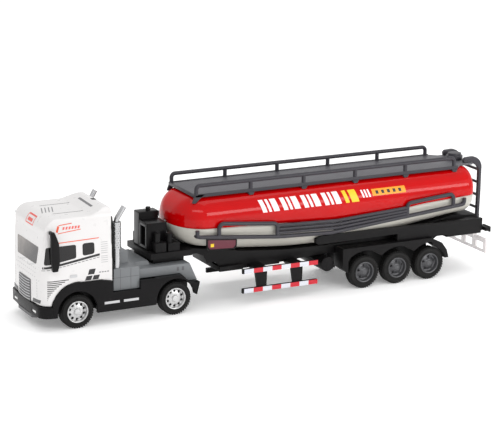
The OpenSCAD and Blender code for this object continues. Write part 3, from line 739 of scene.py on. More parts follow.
# %% Handrails
RAIL_Z = RAIL_HIGH.z / MM - TUBE_R
RAIL_Y = RAIL_HIGH.y / MM - TUBE_R
RAIL_K = [(corner.x - KING_X) / MM for corner in (RAIL_LOW, RAIL_HIGH)]
POST_FOOT = DECK_Z - 0.4
HANDRAIL_BAYS = 5
for side_name, side in (("left", -1), ("right", 1)):
    y = side * RAIL_Y
    first = RAIL_K[0] + TUBE_R
    last = RAIL_K[1] - TUBE_R
    parts = [tube([(first, y, POST_FOOT), (first, y, RAIL_Z), (last, y, RAIL_Z),
                   (last, y, POST_FOOT)], TUBE_R, 2.4, RAIL_GREY)]
    for i in range(1, HANDRAIL_BAYS):
        k = first + (last - first) * i / HANDRAIL_BAYS
        parts.append(tube([(k, y, POST_FOOT), (k, y, RAIL_Z)], TUBE_R, 0, RAIL_GREY))
    finish("handrail_tube_" + side_name, gathered(KING_X, parts), RAIL_GREY, "trailer",
           "rail_grey", "handrail_" + side_name)

# %% Side rails
SIDE_RAIL = [(15, 47), (70.5, 41.2), (108, 39.6), (206, 47.6)]
HOOPS = [(29.6, 69.6), (163, 197.6)]
HOOP_RISE = 8.4
SLAT_LIFTS = (2.4, 4.7, 7)
END_RISE = 4
MIDDLE_K = 112
BRACKET_R = 0.95
SIDE_RAIL_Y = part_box("side_rail_right")[1].y / MM - TUBE_R


def rail_height(k):
    """Height of the side rail's lower tube."""
    spots, heights = zip(*SIDE_RAIL)
    return float(np.interp(k, spots, heights))


def side_rail_paths(y):
    """Every tube of one side rail, as (path, radius, bend)."""
    low = [(k, y, z) for k, z in SIDE_RAIL]
    ends = [(k, y, rail_height(k) + END_RISE) for k in (SIDE_RAIL[0][0], SIDE_RAIL[-1][0])]
    paths = [([ends[0]] + low + [ends[1]], TUBE_R, 2)]
    for a, b in HOOPS:
        paths.append(([(a, y, rail_height(a)), (a, y, rail_height(a) + HOOP_RISE),
                       (b, y, rail_height(b) + HOOP_RISE), (b, y, rail_height(b))], TUBE_R, 3))
    a, b = HOOPS[0][1], HOOPS[1][0]
    for lift in SLAT_LIFTS:
        paths.append(([(a, y, rail_height(a) + lift), (MIDDLE_K, y, rail_height(MIDDLE_K) + lift),
                       (b, y, rail_height(b) + lift * 0.8)], TUBE_R - 0.25, 8))
    return paths


for side_name, side in (("left", -1), ("right", 1)):
    y = side * SIDE_RAIL_Y
    parts = [tube(path, radius, bend, RAIL_GREY) for path, radius, bend in side_rail_paths(y)]
    for k in (SIDE_RAIL[0][0], MIDDLE_K, SIDE_RAIL[-1][0]):
        inner = (k, side * (TANK_HALF - SHELL_WALL), rail_height(k))
        parts.append(tube([inner, (k, y, rail_height(k))], BRACKET_R, 0, RAIL_GREY))
    finish("side_rail_tubes_" + side_name, gathered(KING_X, parts), RAIL_GREY, "trailer",
           "rail_grey", "side_rail_" + side_name)

# %% [markdown]
# The ladder's stiles are flat bars. At the top each one widens into a curved cheek that
# leads over onto the walkway. The four rungs are one bar, repeated.

# %% Ladder
LADDER_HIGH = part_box("ladder")[1]
LADDER_K = (LADDER_HIGH.x - KING_X) / MM - 1.2
LADDER_Y = LADDER_HIGH.y / MM - 1.4
RUNGS = 4
RUNG_PITCH = 8.5
RUNG_LOW = 39.7
RUNG_R = 0.9
STILE_HALF = 1.2
ladder = Shape(KING_X)
k = LADDER_K
cheek = ([(k - 1.1, 33.4), (k + 0.9, 33.4), (k + 1.3, 52), (k + 1.2, 62)]
         + arc((k - 6.6, 66.8), 7.9, -8, 96, 14)
         + [(k - 11.6, 74.4), (k - 13, 73), (k - 12.6, DECK_Z + 0.05), (k - 6, DECK_Z + 0.05)]
         + arc((k - 6.2, 64.6), 5.2, 72, 0, 6) + [(k - 0.9, 58)])
for side in (-1, 1):
    low_y, high_y = span(side, LADDER_Y - STILE_HALF, LADDER_Y + STILE_HALF)
    ladder.prism(cheek, "y", low_y, high_y)
    ladder.block((k - 2.2, low_y - 0.2, 33), (k + 1, high_y + 0.2, 35.4))
finish("ladder_stiles", ladder.to_mesh("stiles", 0.35), RAIL_GREY, "trailer",
       "black_plastic", "ladder")
rung = Shape(0)
rung.lathe([(RUNG_R, -LADDER_Y), (RUNG_R, LADDER_Y), (0, LADDER_Y), (0, -LADDER_Y)], 16)
rungs = moved(repeat(rung, RUNGS, step=(0, 0, RUNG_PITCH), material=RAIL_GREY),
              (LADDER_K, 0, RUNG_LOW))
finish("ladder_rungs", gathered(KING_X, [rungs]), RAIL_GREY, "trailer", "black_plastic")

# %% [markdown]
# ## Walkway
# The walkway is a grey tread plate with a darker raised edge, which turns down onto the
# tank's shoulder at the front corners. Small lugs under the edge carry the rail's posts.

# %% Walkway plate, edge and lugs
WALK_LOW, WALK_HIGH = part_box("walkway")
WALK_HALF = WALK_HIGH.y / MM
WALK_K = [(corner.x - KING_X) / MM for corner in (WALK_LOW, WALK_HIGH)]
TONGUE_HALF = 13.6
front = WALK_K[0] + 2
taper = RAIL_K[1] + 1.2
plate = Shape(KING_X)
plate_outline = [(front, -WALK_HALF), (front, WALK_HALF), (taper, WALK_HALF),
                 (taper + 5, TONGUE_HALF), (WALK_K[1], TONGUE_HALF), (WALK_K[1], -TONGUE_HALF),
                 (taper + 5, -TONGUE_HALF), (taper, -WALK_HALF)]
plate.prism(plate_outline, "z", DECK_Z - 1.5, DECK_Z - 0.1)
finish("walkway_plate", plate.to_mesh("plate", 0.25), DECK_GREY, "trailer", "walkway_grey",
       "walkway")
edge = Shape(KING_X)
for side in (-1, 1):
    low_y, high_y = span(side, WALK_HALF - 0.9, WALK_HALF + 0.35)
    edge.block((front, low_y, DECK_Z - 1.8), (taper, high_y, DECK_Z + 0.35))
    edge.prism([(15.4, 65.9), (17.4, DECK_Z + 0.2), (24.6, DECK_Z + 0.2), (21, 68.8),
                (17.6, 65.6)], "y", low_y, high_y)
edge.block((front - 0.6, -WALK_HALF, DECK_Z - 1.7), (front + 0.6, WALK_HALF, DECK_Z + 0.3))
finish("walkway_edge", edge.to_mesh("edge", 0.3), RAIL_GREY, "trailer", "rail_grey")
lug = Shape(0)
for side in (-1, 1):
    low_y, high_y = span(side, WALK_HALF - 1.6, WALK_HALF + 0.5)
    lug.prism([(-2.2, DECK_Z - 1.8), (2.2, DECK_Z - 1.8), (1.2, DECK_Z - 3.6),
               (-1.2, DECK_Z - 3.6)], "y", low_y, high_y)
bay = (RAIL_K[1] - RAIL_K[0] - 2 * TUBE_R) / HANDRAIL_BAYS
lugs = moved(repeat(lug, HANDRAIL_BAYS, step=(bay, 0, 0), material=RAIL_GREY),
             (RAIL_K[0] + TUBE_R + bay, 0, 0))
finish("walkway_lugs", gathered(KING_X, [lugs]), RAIL_GREY, "trailer", "rail_grey")

# %% [markdown]
# ## Wheels
# A tyre is turned on a lathe and its tread blocks are repeated round it. The rims are
# turned too, then drilled. Tractor rims have ten round hand holes and a ring of nuts;
# trailer rims are darker and have five larger holes.

# %% Wheel profiles
RIM_R = 6.6
TREAD_BLOCKS = 40
BLOCK_HALF = 0.52  # half the length of a tread block round the tyre


def tyre_profile(r):
    """Closed profile of (radius, depth) from the outer bead round to the inner bead."""
    return [(RIM_R, 0.6), (RIM_R + 0.4, 0.15), (RIM_R + 1.1, 0.05), (RIM_R + 1.2, 0.22),
            (RIM_R + 1.4, 0.22), (RIM_R + 1.5, 0.0), (r - 1.6, 0.0), (r - 0.9, 0.3),
            (r - 0.5, 0.9), (r - 0.35, 1.4), (r - 0.35, 2.4), (r - 0.75, 2.45), (r - 0.75, 2.75),
            (r - 0.35, 2.8), (r - 0.35, 4.2), (r - 0.75, 4.25), (r - 0.75, 4.55),
            (r - 0.35, 4.6), (r - 0.35, 5.6), (r - 0.5, 6.1), (r - 0.9, 6.7), (r - 1.6, 7.0),
            (RIM_R + 0.4, 6.85), (RIM_R, 6.4)]


def tread_block(r):
    """One row of tread blocks across the tyre, at the top of the wheel."""
    shape = Shape(0)
    for low, high, lean in ((0.75, 2.4, 0.25), (2.8, 4.2, 0.0), (4.6, 6.25, -0.25)):
        outline = [(lean - BLOCK_HALF, low), (lean + BLOCK_HALF, low),
                   (BLOCK_HALF - lean, high), (-BLOCK_HALF - lean, high)]
        points = [(x, -w, z) for z in (r - 0.5, r) for x, w in outline]
        shape.add(points, [(0, 1, 2, 3), (7, 6, 5, 4), (0, 4, 5, 1), (1, 5, 6, 2),
                           (2, 6, 7, 3), (3, 7, 4, 0)])
    return shape


# %% Tyres
def pair_of(make):
    """The same mesh on both ends of an axle: the right one as made, the left one mirrored."""
    both = []
    for side in (1, -1):
        mesh = make()
        mesh.transform(Matrix.Translation((0, HALF_WIDTH, 0)))
        if side < 0:
            mesh.transform(Matrix.Scale(-1, 4, (0, 1, 0)))
            mesh.flip_normals()
        both.append(mesh)
    return both


def one_turn(count):
    """The turn between neighbours of a full ring, for the repeat tree."""
    return (0, 2 * math.pi / count, 0)


def tyre_mesh(r):
    """A turned tyre with its ring of tread blocks."""
    body = Shape(0)
    body.lathe(tyre_profile(r), 64)
    blocks = repeat(tread_block(r), TREAD_BLOCKS, turn=one_turn(TREAD_BLOCKS), material=RUBBER)
    return joined([repeat(body, 1, material=RUBBER), blocks])


AXLES = [("front", "front_wheels", True), ("drive", "drive_wheels", True),
         ("trailer_1", "trailer_wheels_1", False), ("trailer_2", "trailer_wheels_2", False),
         ("trailer_3", "trailer_wheels_3", False)]
for axle, body, is_tractor in AXLES:
    centre = JOINTS[body + "_roll"]
    radius = centre.z / MM
    meshes = [moved(mesh, (0, 0, radius)) for mesh in pair_of(lambda: tyre_mesh(radius))]
    finish(axle + "_tyre_treads", gathered(centre.x, meshes), RUBBER, body, "tyre",
           axle + "_tyres")

# %% Rims
TRACTOR_RIM = [(RIM_R, 0.55), (RIM_R, 0.15), (RIM_R - 0.25, 0.0), (RIM_R - 0.6, 0.1),
               (RIM_R - 0.8, 0.6), (RIM_R - 1.05, 1.9), (RIM_R - 1.5, 2.2), (4.1, 1.75),
               (3.1, 1.35), (2.9, 1.3), (2.0, 1.3), (1.9, 0.7), (1.7, 0.45), (1.0, 0.35),
               (0.0, 0.35), (0.0, 3.0), (2.6, 3.0), (RIM_R - 1.4, 3.4), (RIM_R - 1.0, 6.3),
               (RIM_R, 6.4)]
TRAILER_RIM = [(RIM_R, 0.55), (RIM_R, 0.15), (RIM_R - 0.3, 0.0), (RIM_R - 0.7, 0.2),
               (RIM_R - 0.9, 1.0), (RIM_R - 1.3, 2.3), (4.6, 2.5), (3.4, 2.0), (2.6, 1.2),
               (2.3, 0.9), (1.9, 0.8), (1.5, 0.35), (0.9, 0.2), (0.0, 0.2), (0.0, 3.4),
               (2.6, 3.4), (RIM_R - 1.4, 3.7), (RIM_R - 1.0, 6.3), (RIM_R, 6.4)]


def cut_away(blank_mesh, drill_mesh):
    """The first mesh with the second one cut out of it."""
    blank = linked("blank", blank_mesh)
    cutter = linked("cutter", drill_mesh)
    cut = blank.modifiers.new("holes", "BOOLEAN")
    cut.operation = "DIFFERENCE"
    cut.solver = "EXACT"
    cut.object = cutter
    return baked(blank, cutter)


def drilled_rim(profile, holes, hole_r, hole_at, material):
    """A turned rim with a ring of round holes cut through its dish."""
    rim = Shape(0)
    rim.lathe(profile, 64)
    drill = Shape(0)
    drill.lathe([(hole_r, 0.2), (0, 0.2), (0, 3.2), (hole_r, 3.2)], 14, hole_at)
    for shape in (rim, drill):
        bmesh.ops.remove_doubles(shape.mesh, verts=shape.mesh.verts, dist=1e-4)
    drills = repeat(drill, holes, turn=one_turn(holes), material=material)
    return cut_away(repeat(rim, 1, material=material), drills)


def nut_ring(count, ring_r, depth, material):
    """Hexagonal wheel nuts round the hub."""
    nut = Shape(0)
    nut.lathe([(0.3, depth), (0, depth), (0, depth + 0.6), (0.3, depth + 0.6)], 6, ring_r)
    return repeat(nut, count, turn=one_turn(count), material=material)


def tractor_rim():
    return joined([drilled_rim(TRACTOR_RIM, 10, 0.85, 4.7, SILVER),
                   nut_ring(10, 2.45, 0.95, SILVER)])


def trailer_rim():
    return joined([drilled_rim(TRAILER_RIM, 5, 0.95, 4.2, DARK_RIM),
                   nut_ring(5, 2.9, 1.2, DARK_RIM)])


for axle, body, is_tractor in AXLES:
    centre = JOINTS[body + "_roll"]
    make = tractor_rim if is_tractor else trailer_rim
    material = SILVER if is_tractor else DARK_RIM
    meshes = [moved(mesh, (0, 0, centre.z / MM)) for mesh in pair_of(make)]
    finish(axle + "_rim_pair", gathered(centre.x, meshes), material, body,
           "silver_rim" if is_tractor else "grey_rim", axle + "_rims")

# %% [markdown]
# On the real wheel the hand holes look black, because there is only shadow behind them. A
# black ring set inside each tractor rim does the same.

# %% Dark rings behind the hand holes
for axle, body, is_tractor in AXLES:
    if is_tractor:
        centre = JOINTS[body + "_roll"]
        dark = Shape(0)
        dark.lathe([(3.4, 2.5), (5.7, 2.5), (5.7, 2.9), (3.4, 2.9)])
        ring = repeat(dark, 1)
        meshes = [moved(mesh, (0, 0, centre.z / MM)) for mesh in pair_of(ring.copy)]
        finish(axle + "_rim_shadow_ring", gathered(centre.x, meshes), BLACK, body, "tyre")

# %% [markdown]
# ## The cab
# The cab's shape is what its side, plan and front outlines have in common. The three are
# swept through each other, then the result is rebuilt from small cells and smoothed, which
# leaves the soft rounded edges of a thick white moulding.

# %% Outlines of the cab
CAB_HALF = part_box("cab_back_panel")[1].y / MM + 0.4
CAB_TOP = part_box("cab_shell")[1].z / MM
ROOF_Z = 67
WHEEL_T = (JOINTS["front_wheels_roll"].x - FRONT_X) / MM
SIDE = ([(0.8, 15.2), (0.8, 30), (2.2, 40), (3.0, 50), (3.8, 57)]
        + arc((12, ROOF_Z - 8.4), 8.4, 170, 90)
        + [(33, ROOF_Z), (38, ROOF_Z + 1.6), (43, CAB_TOP), (46.6, CAB_TOP - 0.2),
           (47, CAB_TOP - 4), (46, CAB_TOP - 5.4), (46, 26.3), (38, 28)]
        + arc((WHEEL_T, 12), 16.2, 80, 168) + [(7.6, 15.2)])
PLAN = ([(48, CAB_HALF), (48, -CAB_HALF)] + arc((8.8, -CAB_HALF + 7.4), 7.4, 270, 198)
        + [(0.8, -10), (0.5, 0), (0.8, 10)] + arc((8.8, CAB_HALF - 7.4), 7.4, 162, 90))
FRONT = ([(-CAB_HALF, 10), (CAB_HALF, 10), (CAB_HALF, 40)]
         + arc((CAB_HALF - 7.6, CAB_TOP - 6), 6.2, 5, 90)
         + arc((7.6 - CAB_HALF, CAB_TOP - 6), 6.2, 90, 175) + [(-CAB_HALF, 40)])


# %% Build the cab's skin
CELL_MM = 0.5
SMOOTH_PASSES = 6


def swept(outline, axis, low, high):
    """A temporary object: one outline swept along an axis."""
    shape = Shape(FRONT_X)
    shape.prism(outline, axis, low, high)
    return linked("swept", shape.to_mesh("swept"))


def cab_skin():
    """What the three swept outlines have in common, rebuilt from cells and smoothed."""
    body = swept(SIDE, "y", -CAB_HALF - 1, CAB_HALF + 1)
    others = [swept(PLAN, "z", 5, 90), swept(FRONT, "x", -5, 60)]
    for other in others:
        common = body.modifiers.new("common", "BOOLEAN")
        common.operation = "INTERSECT"
        common.solver = "EXACT"
        common.object = other
    cells = body.modifiers.new("cells", "REMESH")
    cells.mode = "VOXEL"
    cells.voxel_size = CELL_MM * MM
    soft = body.modifiers.new("soft", "SMOOTH")
    soft.factor = 0.5
    soft.iterations = SMOOTH_PASSES
    return baked(body, *others)


cab = finish("cab_body", cab_skin(), CAB_WHITE, "tractor", "white_cab", "cab_shell", smooth=80)

# %% [markdown]
# ## Windows and printed marks
# Windows and printed marks are thin skins that lie on a larger surface. Each outline is cut
# into small triangles, dropped straight onto the surface, and given a little thickness. The
# real toy carries names here, which are replaced by plain bars and blocks.


# %% Lay flat shapes on a surface
def surface_of(piece):
    """A piece's surface, ready for finding where a straight line meets it."""
    mesh = piece.data
    corners = [v.co.copy() for v in mesh.vertices]
    return BVHTree.FromPolygons(corners, [tuple(p.vertices) for p in mesh.polygons])


# For each view: where a line starts for a point (u, v) of an outline, and its direction
LOOK = {
    "left": (lambda o, u, v: (o + u * MM, -0.1, v * MM), Vector((0, 1, 0))),
    "right": (lambda o, u, v: (o + u * MM, 0.1, v * MM), Vector((0, -1, 0))),
    "front": (lambda o, u, v: (o - 0.05, u * MM, v * MM), Vector((1, 0, 0))),
    "top": (lambda o, u, v: (o + u * MM, v * MM, 0.2), Vector((0, 0, -1))),
}


ROOT_MM = 0.12  # how far a mark's underside reaches into the surface


def small_triangles(outline, longest):
    """Cuts a flat outline into triangles no longer than the given length."""
    bm = bmesh.new()
    bm.faces.new([bm.verts.new((u, v, 0)) for u, v in outline])
    bmesh.ops.triangulate(bm, faces=bm.faces[:])
    for _ in range(7):
        long_edges = [e for e in bm.edges if e.calc_length() > longest]
        if not long_edges:
            break
        bmesh.ops.subdivide_edges(bm, edges=long_edges, cuts=1)
        bmesh.ops.triangulate(bm, faces=bm.faces[:])
    return bm


def laid(name, outlines, view, surface, origin_x, material, body, slot, *nodes, lift=0.06,
         longest=1.6):
    """Thin shapes laid on a surface. Views left and right together print both sides."""
    whole = bmesh.new()
    for look in view.split("+"):
        start_of, ahead = LOOK[look]
        for outline in outlines:
            bm = small_triangles(outline, longest)
            for v in bm.verts:
                start = Vector(start_of(origin_x, v.co.x, v.co.y))
                hit = surface.ray_cast(start, ahead)[0]
                v.co = hit if hit is not None else surface.find_nearest(start)[0]
            foot = bm.verts[:]
            grown = bmesh.ops.extrude_face_region(bm, geom=bm.faces[:])["geom"]
            for v in grown:
                if isinstance(v, bmesh.types.BMVert):
                    v.co -= ahead * lift * MM
            for v in foot:
                if v.is_valid:
                    v.co += ahead * ROOT_MM * MM
            bmesh.ops.recalc_face_normals(bm, faces=bm.faces[:])
            whole.from_mesh(mesh_of(bm, "part"))
    return finish(name, mesh_of(whole, name), material, body, slot, *nodes)


def box(u0, v0, u1, v1, slant=0.0):
    """A rectangle or, with a slant, a leaning bar."""
    return [(u0, v0), (u1, v0), (u1 + slant, v1), (u0 + slant, v1)]


def line(u0, v0, u1, v1, width):
    """A straight stroke of the given width."""
    across = Vector((v0 - v1, u1 - u0)).normalized() * width / 2
    return [(u0 - across.x, v0 - across.y), (u1 - across.x, v1 - across.y),
            (u1 + across.x, v1 + across.y), (u0 + across.x, v0 + across.y)]


def rounded(outline, radius, steps=4):
    """An outline with its corners rounded."""
    result = []
    n = len(outline)
    for i in range(n):
        before, here, after = (Vector(outline[(i + d) % n]) for d in (-1, 0, 1))
        reach = min(radius, (before - here).length / 2, (after - here).length / 2)
        start = here + (before - here).normalized() * reach
        end = here + (after - here).normalized() * reach
        for s in np.linspace(0, 1, steps + 1):
            point = start * (1 - s) ** 2 + here * (2 * s * (1 - s)) + end * s * s
            result.append((point.x, point.y))
    return result


CAB = surface_of(cab)
BOTH = "left+right"

# %% Windows
side_glass = [rounded([(3.6, 40.2), (23.2, 43.0), (23.2, 51), (4.6, 51)], 1.2),
              rounded([(27.3, 43.8), (34.8, 44.4), (34.8, 51.2), (27.3, 51.2)], 1.6)]
laid("side_glass", side_glass, BOTH, CAB, FRONT_X, WINDOW, "tractor", "smoked_window",
     "side_windows", lift=0.12)
laid("front_glass", [rounded([(-14.8, 39.2), (14.8, 39.2), (16.6, 49.8), (-16.6, 49.8)], 1.4)],
     "front", CAB, FRONT_X, WINDSCREEN, "tractor", "smoked_window", "windscreen", lift=0.12)

# %% Marks on the sides of the cab
stripe = [line(1.9, 38.3, 38.1, 43.5, 1.3)]
louvres = [line(5.2, 30.4 - i * 1.12, 22.2 - 17 * math.sin(math.radians(8 + 7.3 * i)) ** 0.75,
                30.4 - i * 1.12, 0.5) for i in range(11)]
badge = [box(28.6, 28.6, 32.4, 31.2, 1.0), box(33.2, 28.6, 37, 31.2, 1.0),
         box(30.4, 32, 34.4, 35.2, 1.0)]
laid("cab_marks_black", stripe + louvres + badge, BOTH, CAB, FRONT_X, INK_BLACK, "tractor",
     "black_gloss")
dashes = [line(2.6 + 2.4 * i, 36.9 + 0.345 * i, 4.4 + 2.4 * i, 37.16 + 0.345 * i, 0.35)
          for i in range(15)]
vents = [line(38.9, z, 43.2, z, 0.4) for z in (44.2, 45.5, 46.8, 48.1, 49.4, 50.7)]
vents += [line(38.9, z, 43.2, z, 0.4) for z in (38.6, 39.9, 41.2, 42.3)]
ticks = [box(37.6 + 1.7 * i, 32.4, 38.7 + 1.7 * i, 33) for i in range(4)]
laid("cab_vent_lines", vents, BOTH, CAB, FRONT_X, INK_PALE, "tractor", "dark_grille")
laid("cab_marks_grey", dashes + ticks, BOTH, CAB, FRONT_X, INK_GREY, "tractor", "dark_grille")
swoosh = [line(12.2, 58.6, 26.5, 59.9, 0.45), line(11.5, 59.4, 12.6, 63, 1.3),
          line(12.8, 63.4, 21, 64.0, 0.5), line(12.2, 53, 37.8, 53.5, 0.5)]
laid("cab_marks_red", swoosh, BOTH, CAB, FRONT_X, INK_RED, "tractor", "reflector")
bars = [box(15 + 1.9 * i, 60.6, 16.2 + 1.9 * i, 62.2, 0.4) for i in range(6)]
laid("cab_marks_rose", bars, BOTH, CAB, FRONT_X, INK_ROSE, "tractor", "reflector")
laid("door_handles", [rounded(box(19.2, 31.4, 23.6, 33.0), 0.5)], BOTH, CAB, FRONT_X,
     PALE_GREY, "tractor", "white_cab", lift=0.35)

# %% Marks on the front and the roof
brow = [line(-5.5, 60.2, 5.5, 60.2, 0.7), line(-5.5, 65, 5.5, 65, 0.7),
        line(-5.5, 60.2, -5.5, 65, 0.7), line(5.5, 60.2, 5.5, 65, 0.7),
        box(-3.4, 61.6, 3.4, 63.4)]
laid("brow_mark", brow, "front", CAB, FRONT_X, INK_ROSE, "tractor", "reflector")
roof = [line(14.5, y, 33.5, y, 0.6) for y in (-10.4, 10.4)]
roof += [line(10 + 2.2 * i, -5.5, 13.5 + 2.2 * i, 5, 0.6) for i in range(4)]
roof += [line(39.2, -10.5, 39.8, 10.5, 1.4)]
laid("roof_marks", roof, "top", CAB, FRONT_X, INK_GREY, "tractor", "dark_grille")
laid("roof_block", [box(43.4, -1.4, 46, 1.4)], "top", CAB, FRONT_X, INK_BLACK, "tractor",
     "black_gloss", lift=0.3)
front_dots = [box(y, z, y + 1.1, z + 0.45) for y in range(-15, 15, 3) for z in (31.5, 34, 36.4)]
corner_dots = [box(side * 17 - 0.25, z, side * 17 + 0.25, z + 0.9) for side in (-1, 1)
               for z in (19.5, 21.2, 22.9, 24.6, 26.3, 28, 29.7)]
wipers = [line(-12, 38.6, -3, 36.2, 0.35), line(2, 38.6, 11, 36.2, 0.35)]
laid("front_marks", front_dots + corner_dots + wipers, "front", CAB, FRONT_X, INK_PALE,
     "tractor", "dark_grille")

# %% Small marks on the marker plates and the deck box
laid("marker_blocks", [box(24.2, 39.6, 26.4, 41.6)], BOTH,
     surface_of(frame["nodes"]["marker_inserts"]), KING_X, INK_YELLOW, "trailer", "reflector",
     lift=0.1)
seams = [line(51.6, 20, 51.6, 32.6, 0.3), line(58.4, 20, 58.4, 32.6, 0.3),
         line(47.6, 27.4, 63.6, 27.4, 0.3)]
seams += [box(90 + 3.4 * i, 26, 91.4 + 3.4 * i, 28.4) for i in range(2)]
laid("deck_seams", seams, BOTH, surface_of(frame["nodes"]["frame_deck"]), FRONT_X, TRIM_GREY,
     "tractor", "grey_deck", lift=0.05)

# %% Marks on the tank
TANK = surface_of(tank_red)
BAR_Z = (57, 64.4)
BAR_SLANT = -2.6


def tank_bars(*spans):
    """Tall slanted bars on the tank, each from one k to another."""
    return [box(a, BAR_Z[0], b, BAR_Z[1], BAR_SLANT) for a, b in spans]


white_bars = []
for i in range(4):
    k = 60.5 + 14.6 * i
    white_bars += tank_bars((k, k + 3), (k + 4.4, k + 6.2), (k + 7.6, k + 11.6))
white_bars += [box(131.4 + 2.3 * i, 59, 132.6 + 2.3 * i, 63.6, -1.4) for i in range(3)]
laid("tank_marks_white", white_bars, BOTH, TANK, KING_X, INK_WHITE, "trailer", "lamp_lens")
laid("tank_marks_yellow", tank_bars((119, 121.6), (123.4, 128.6)), BOTH, TANK, KING_X,
     INK_YELLOW, "trailer", "lamp_lens")
laid("tank_marks_orange", [box(138.6, 59.4, 163, 63.4, -0.6)], BOTH, TANK, KING_X, INK_ORANGE,
     "trailer", "lamp_lens")
dark_ticks = [box(141 + 4.2 * i, 60.4, 143 + 4.2 * i, 62.4, -0.4) for i in range(5)]
laid("tank_marks_dark", dark_ticks, BOTH, TANK, KING_X, INK_BLACK, "trailer", "lamp_lens",
     lift=0.12)

# %% [markdown]
# ## Grille, exhausts and small trim
# The grille's slats droop a little towards the middle, the exhaust guards are drilled all
# over, and the side guards carry red and white lengths. All of them are repeats.

# %% Grille
GRILLE_LOW, GRILLE_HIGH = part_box("grille")
GRILLE_HALF = GRILLE_HIGH.y / MM
SLATS = 8
slat_pitch = (GRILLE_HIGH.z - GRILLE_LOW.z) / MM / SLATS
slat = Shape(0)
spots = np.linspace(-GRILLE_HALF + 0.5, GRILLE_HALF - 0.5, 13)
section = [(0.7, 0.0), (0.1, 0.25), (-0.1, 0.55), (0.15, 0.8), (0.7, 0.75)]
slat_points = [(x, float(y), z + 0.8 * (float(y) / GRILLE_HALF) ** 2) for y in spots
               for x, z in section]
n = len(section)
slat_faces = [(i * n + j, i * n + (j + 1) % n, (i + 1) * n + (j + 1) % n, (i + 1) * n + j)
              for i in range(len(spots) - 1) for j in range(n)]
slat_faces += [tuple(range(n)), tuple(range(len(slat_points) - 1, len(slat_points) - n - 1, -1))]
slat.add(slat_points, slat_faces)
slats = moved(repeat(slat, SLATS, step=(0, 0, slat_pitch), material=PALE_GREY),
              (0, 0, GRILLE_LOW.z / MM - 0.1))
finish("grille_slats", gathered(FRONT_X, [slats]), PALE_GREY, "tractor", "silver_trim")
back = Shape(FRONT_X)
back.prism(rounded(box(-GRILLE_HALF, GRILLE_LOW.z / MM, GRILLE_HALF, GRILLE_HIGH.z / MM), 0.8),
           "x", 0.35, 1.2)
finish("grille_back", back.to_mesh("back", 0.1), TRIM_GREY, "tractor", "dark_grille", "grille")

# %% Exhaust stacks and drilled guards
STACK_LOW, STACK_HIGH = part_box("exhaust_shields")
STACK_T = ((STACK_LOW.x + STACK_HIGH.x) / 2 - FRONT_X) / MM
GUARD_R = (STACK_HIGH.x - STACK_LOW.x) / MM / 2
STACK_Y = STACK_HIGH.y / MM - GUARD_R
GUARD_Z = (STACK_LOW.z / MM, STACK_HIGH.z / MM)
GUARD_WALL = 0.5
PIPE_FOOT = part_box("exhaust_stacks")[0].z / MM
PIPE_R = (2.15, 1.55)  # below the guard, and through and above it
HOLE_R = 0.34
HOLE_ROWS = 11
HOLE_ROW_PITCH = 1.4
HOLES_ROUND = 12
parts = []
for side in (-1, 1):
    y = side * STACK_Y
    low = [(STACK_T, y, PIPE_FOOT), (STACK_T, y, GUARD_Z[0] + 1)]
    high = [(STACK_T, y, GUARD_Z[0]), (STACK_T, y, GUARD_Z[1] + 1.5),
            (STACK_T + 4.6, y + side * 0.6, GUARD_Z[1] + 9)]
    parts += [tube(low, PIPE_R[0], 0, CHROME), tube(high, PIPE_R[1], 5, CHROME)]
finish("exhaust_pipes", gathered(FRONT_X, parts), CHROME, "tractor", "silver_trim",
       "exhaust_stacks")


def drilled_guard():
    """A tube wall with staggered rows of round holes, as a turned blank minus its drills."""
    length = GUARD_Z[1] - GUARD_Z[0]
    inner = GUARD_R - GUARD_WALL
    blank = Shape(0)
    blank.lathe([(GUARD_R, 0), (GUARD_R, length), (inner, length), (inner, 0)])
    ring = Shape(0)
    for row in range(HOLE_ROWS):
        drill = Shape(0)
        drill.lathe([(HOLE_R, 0.4), (0, 0.4), (0, -0.6), (HOLE_R, -0.6)], 8)
        item = repeat(drill, 1)
        item.transform(Matrix.Rotation(math.pi / 2, 4, "X"))
        item.transform(Matrix.Translation((0, -1.0 - row * HOLE_ROW_PITCH, GUARD_R - 0.1)))
        item.transform(Matrix.Rotation(math.pi / HOLES_ROUND * (row % 2), 4, "Y"))
        ring.take(item)
    drills = repeat(ring, HOLES_ROUND, turn=one_turn(HOLES_ROUND))
    guard = cut_away(repeat(blank, 1), drills)
    guard.transform(Matrix.Rotation(-math.pi / 2, 4, "X"))
    return guard


parts = [moved(drilled_guard(), (STACK_T, side * STACK_Y, GUARD_Z[0])) for side in (-1, 1)]
finish("exhaust_guards", gathered(FRONT_X, parts), CHROME, "tractor", "silver_trim",
       "exhaust_shields")

# %% Red and white lengths on the side guards
STRIPES_LOW, STRIPES_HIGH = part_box("guard_stripes")
stripe_k = (STRIPES_LOW.x - KING_X) / MM
stripe_pitch = (STRIPES_HIGH.x - STRIPES_LOW.x) / MM / 8
stripe_y = STRIPES_HIGH.y / MM
STRIPE_H = 2.8
stripe_z = (STRIPES_LOW.z / MM, STRIPES_HIGH.z / MM - STRIPE_H)
for name, shift, material, nodes in (("stripes_white", 0, STRIPE_WHITE, []),
                                     ("stripes_red", 1, STRIPE_RED, ["guard_stripes"])):
    length = Shape(0)
    for side in (-1, 1):
        low_y, high_y = span(side, stripe_y - 0.35, stripe_y)
        for z in stripe_z:
            length.block((0, low_y, z), (stripe_pitch, high_y, z + STRIPE_H))
    lengths = moved(repeat(length, 4, step=(2 * stripe_pitch, 0, 0), material=material),
                    (stripe_k + shift * stripe_pitch, 0, 0))
    finish(name, gathered(KING_X, [lengths]), material, "trailer", "reflector", *nodes)

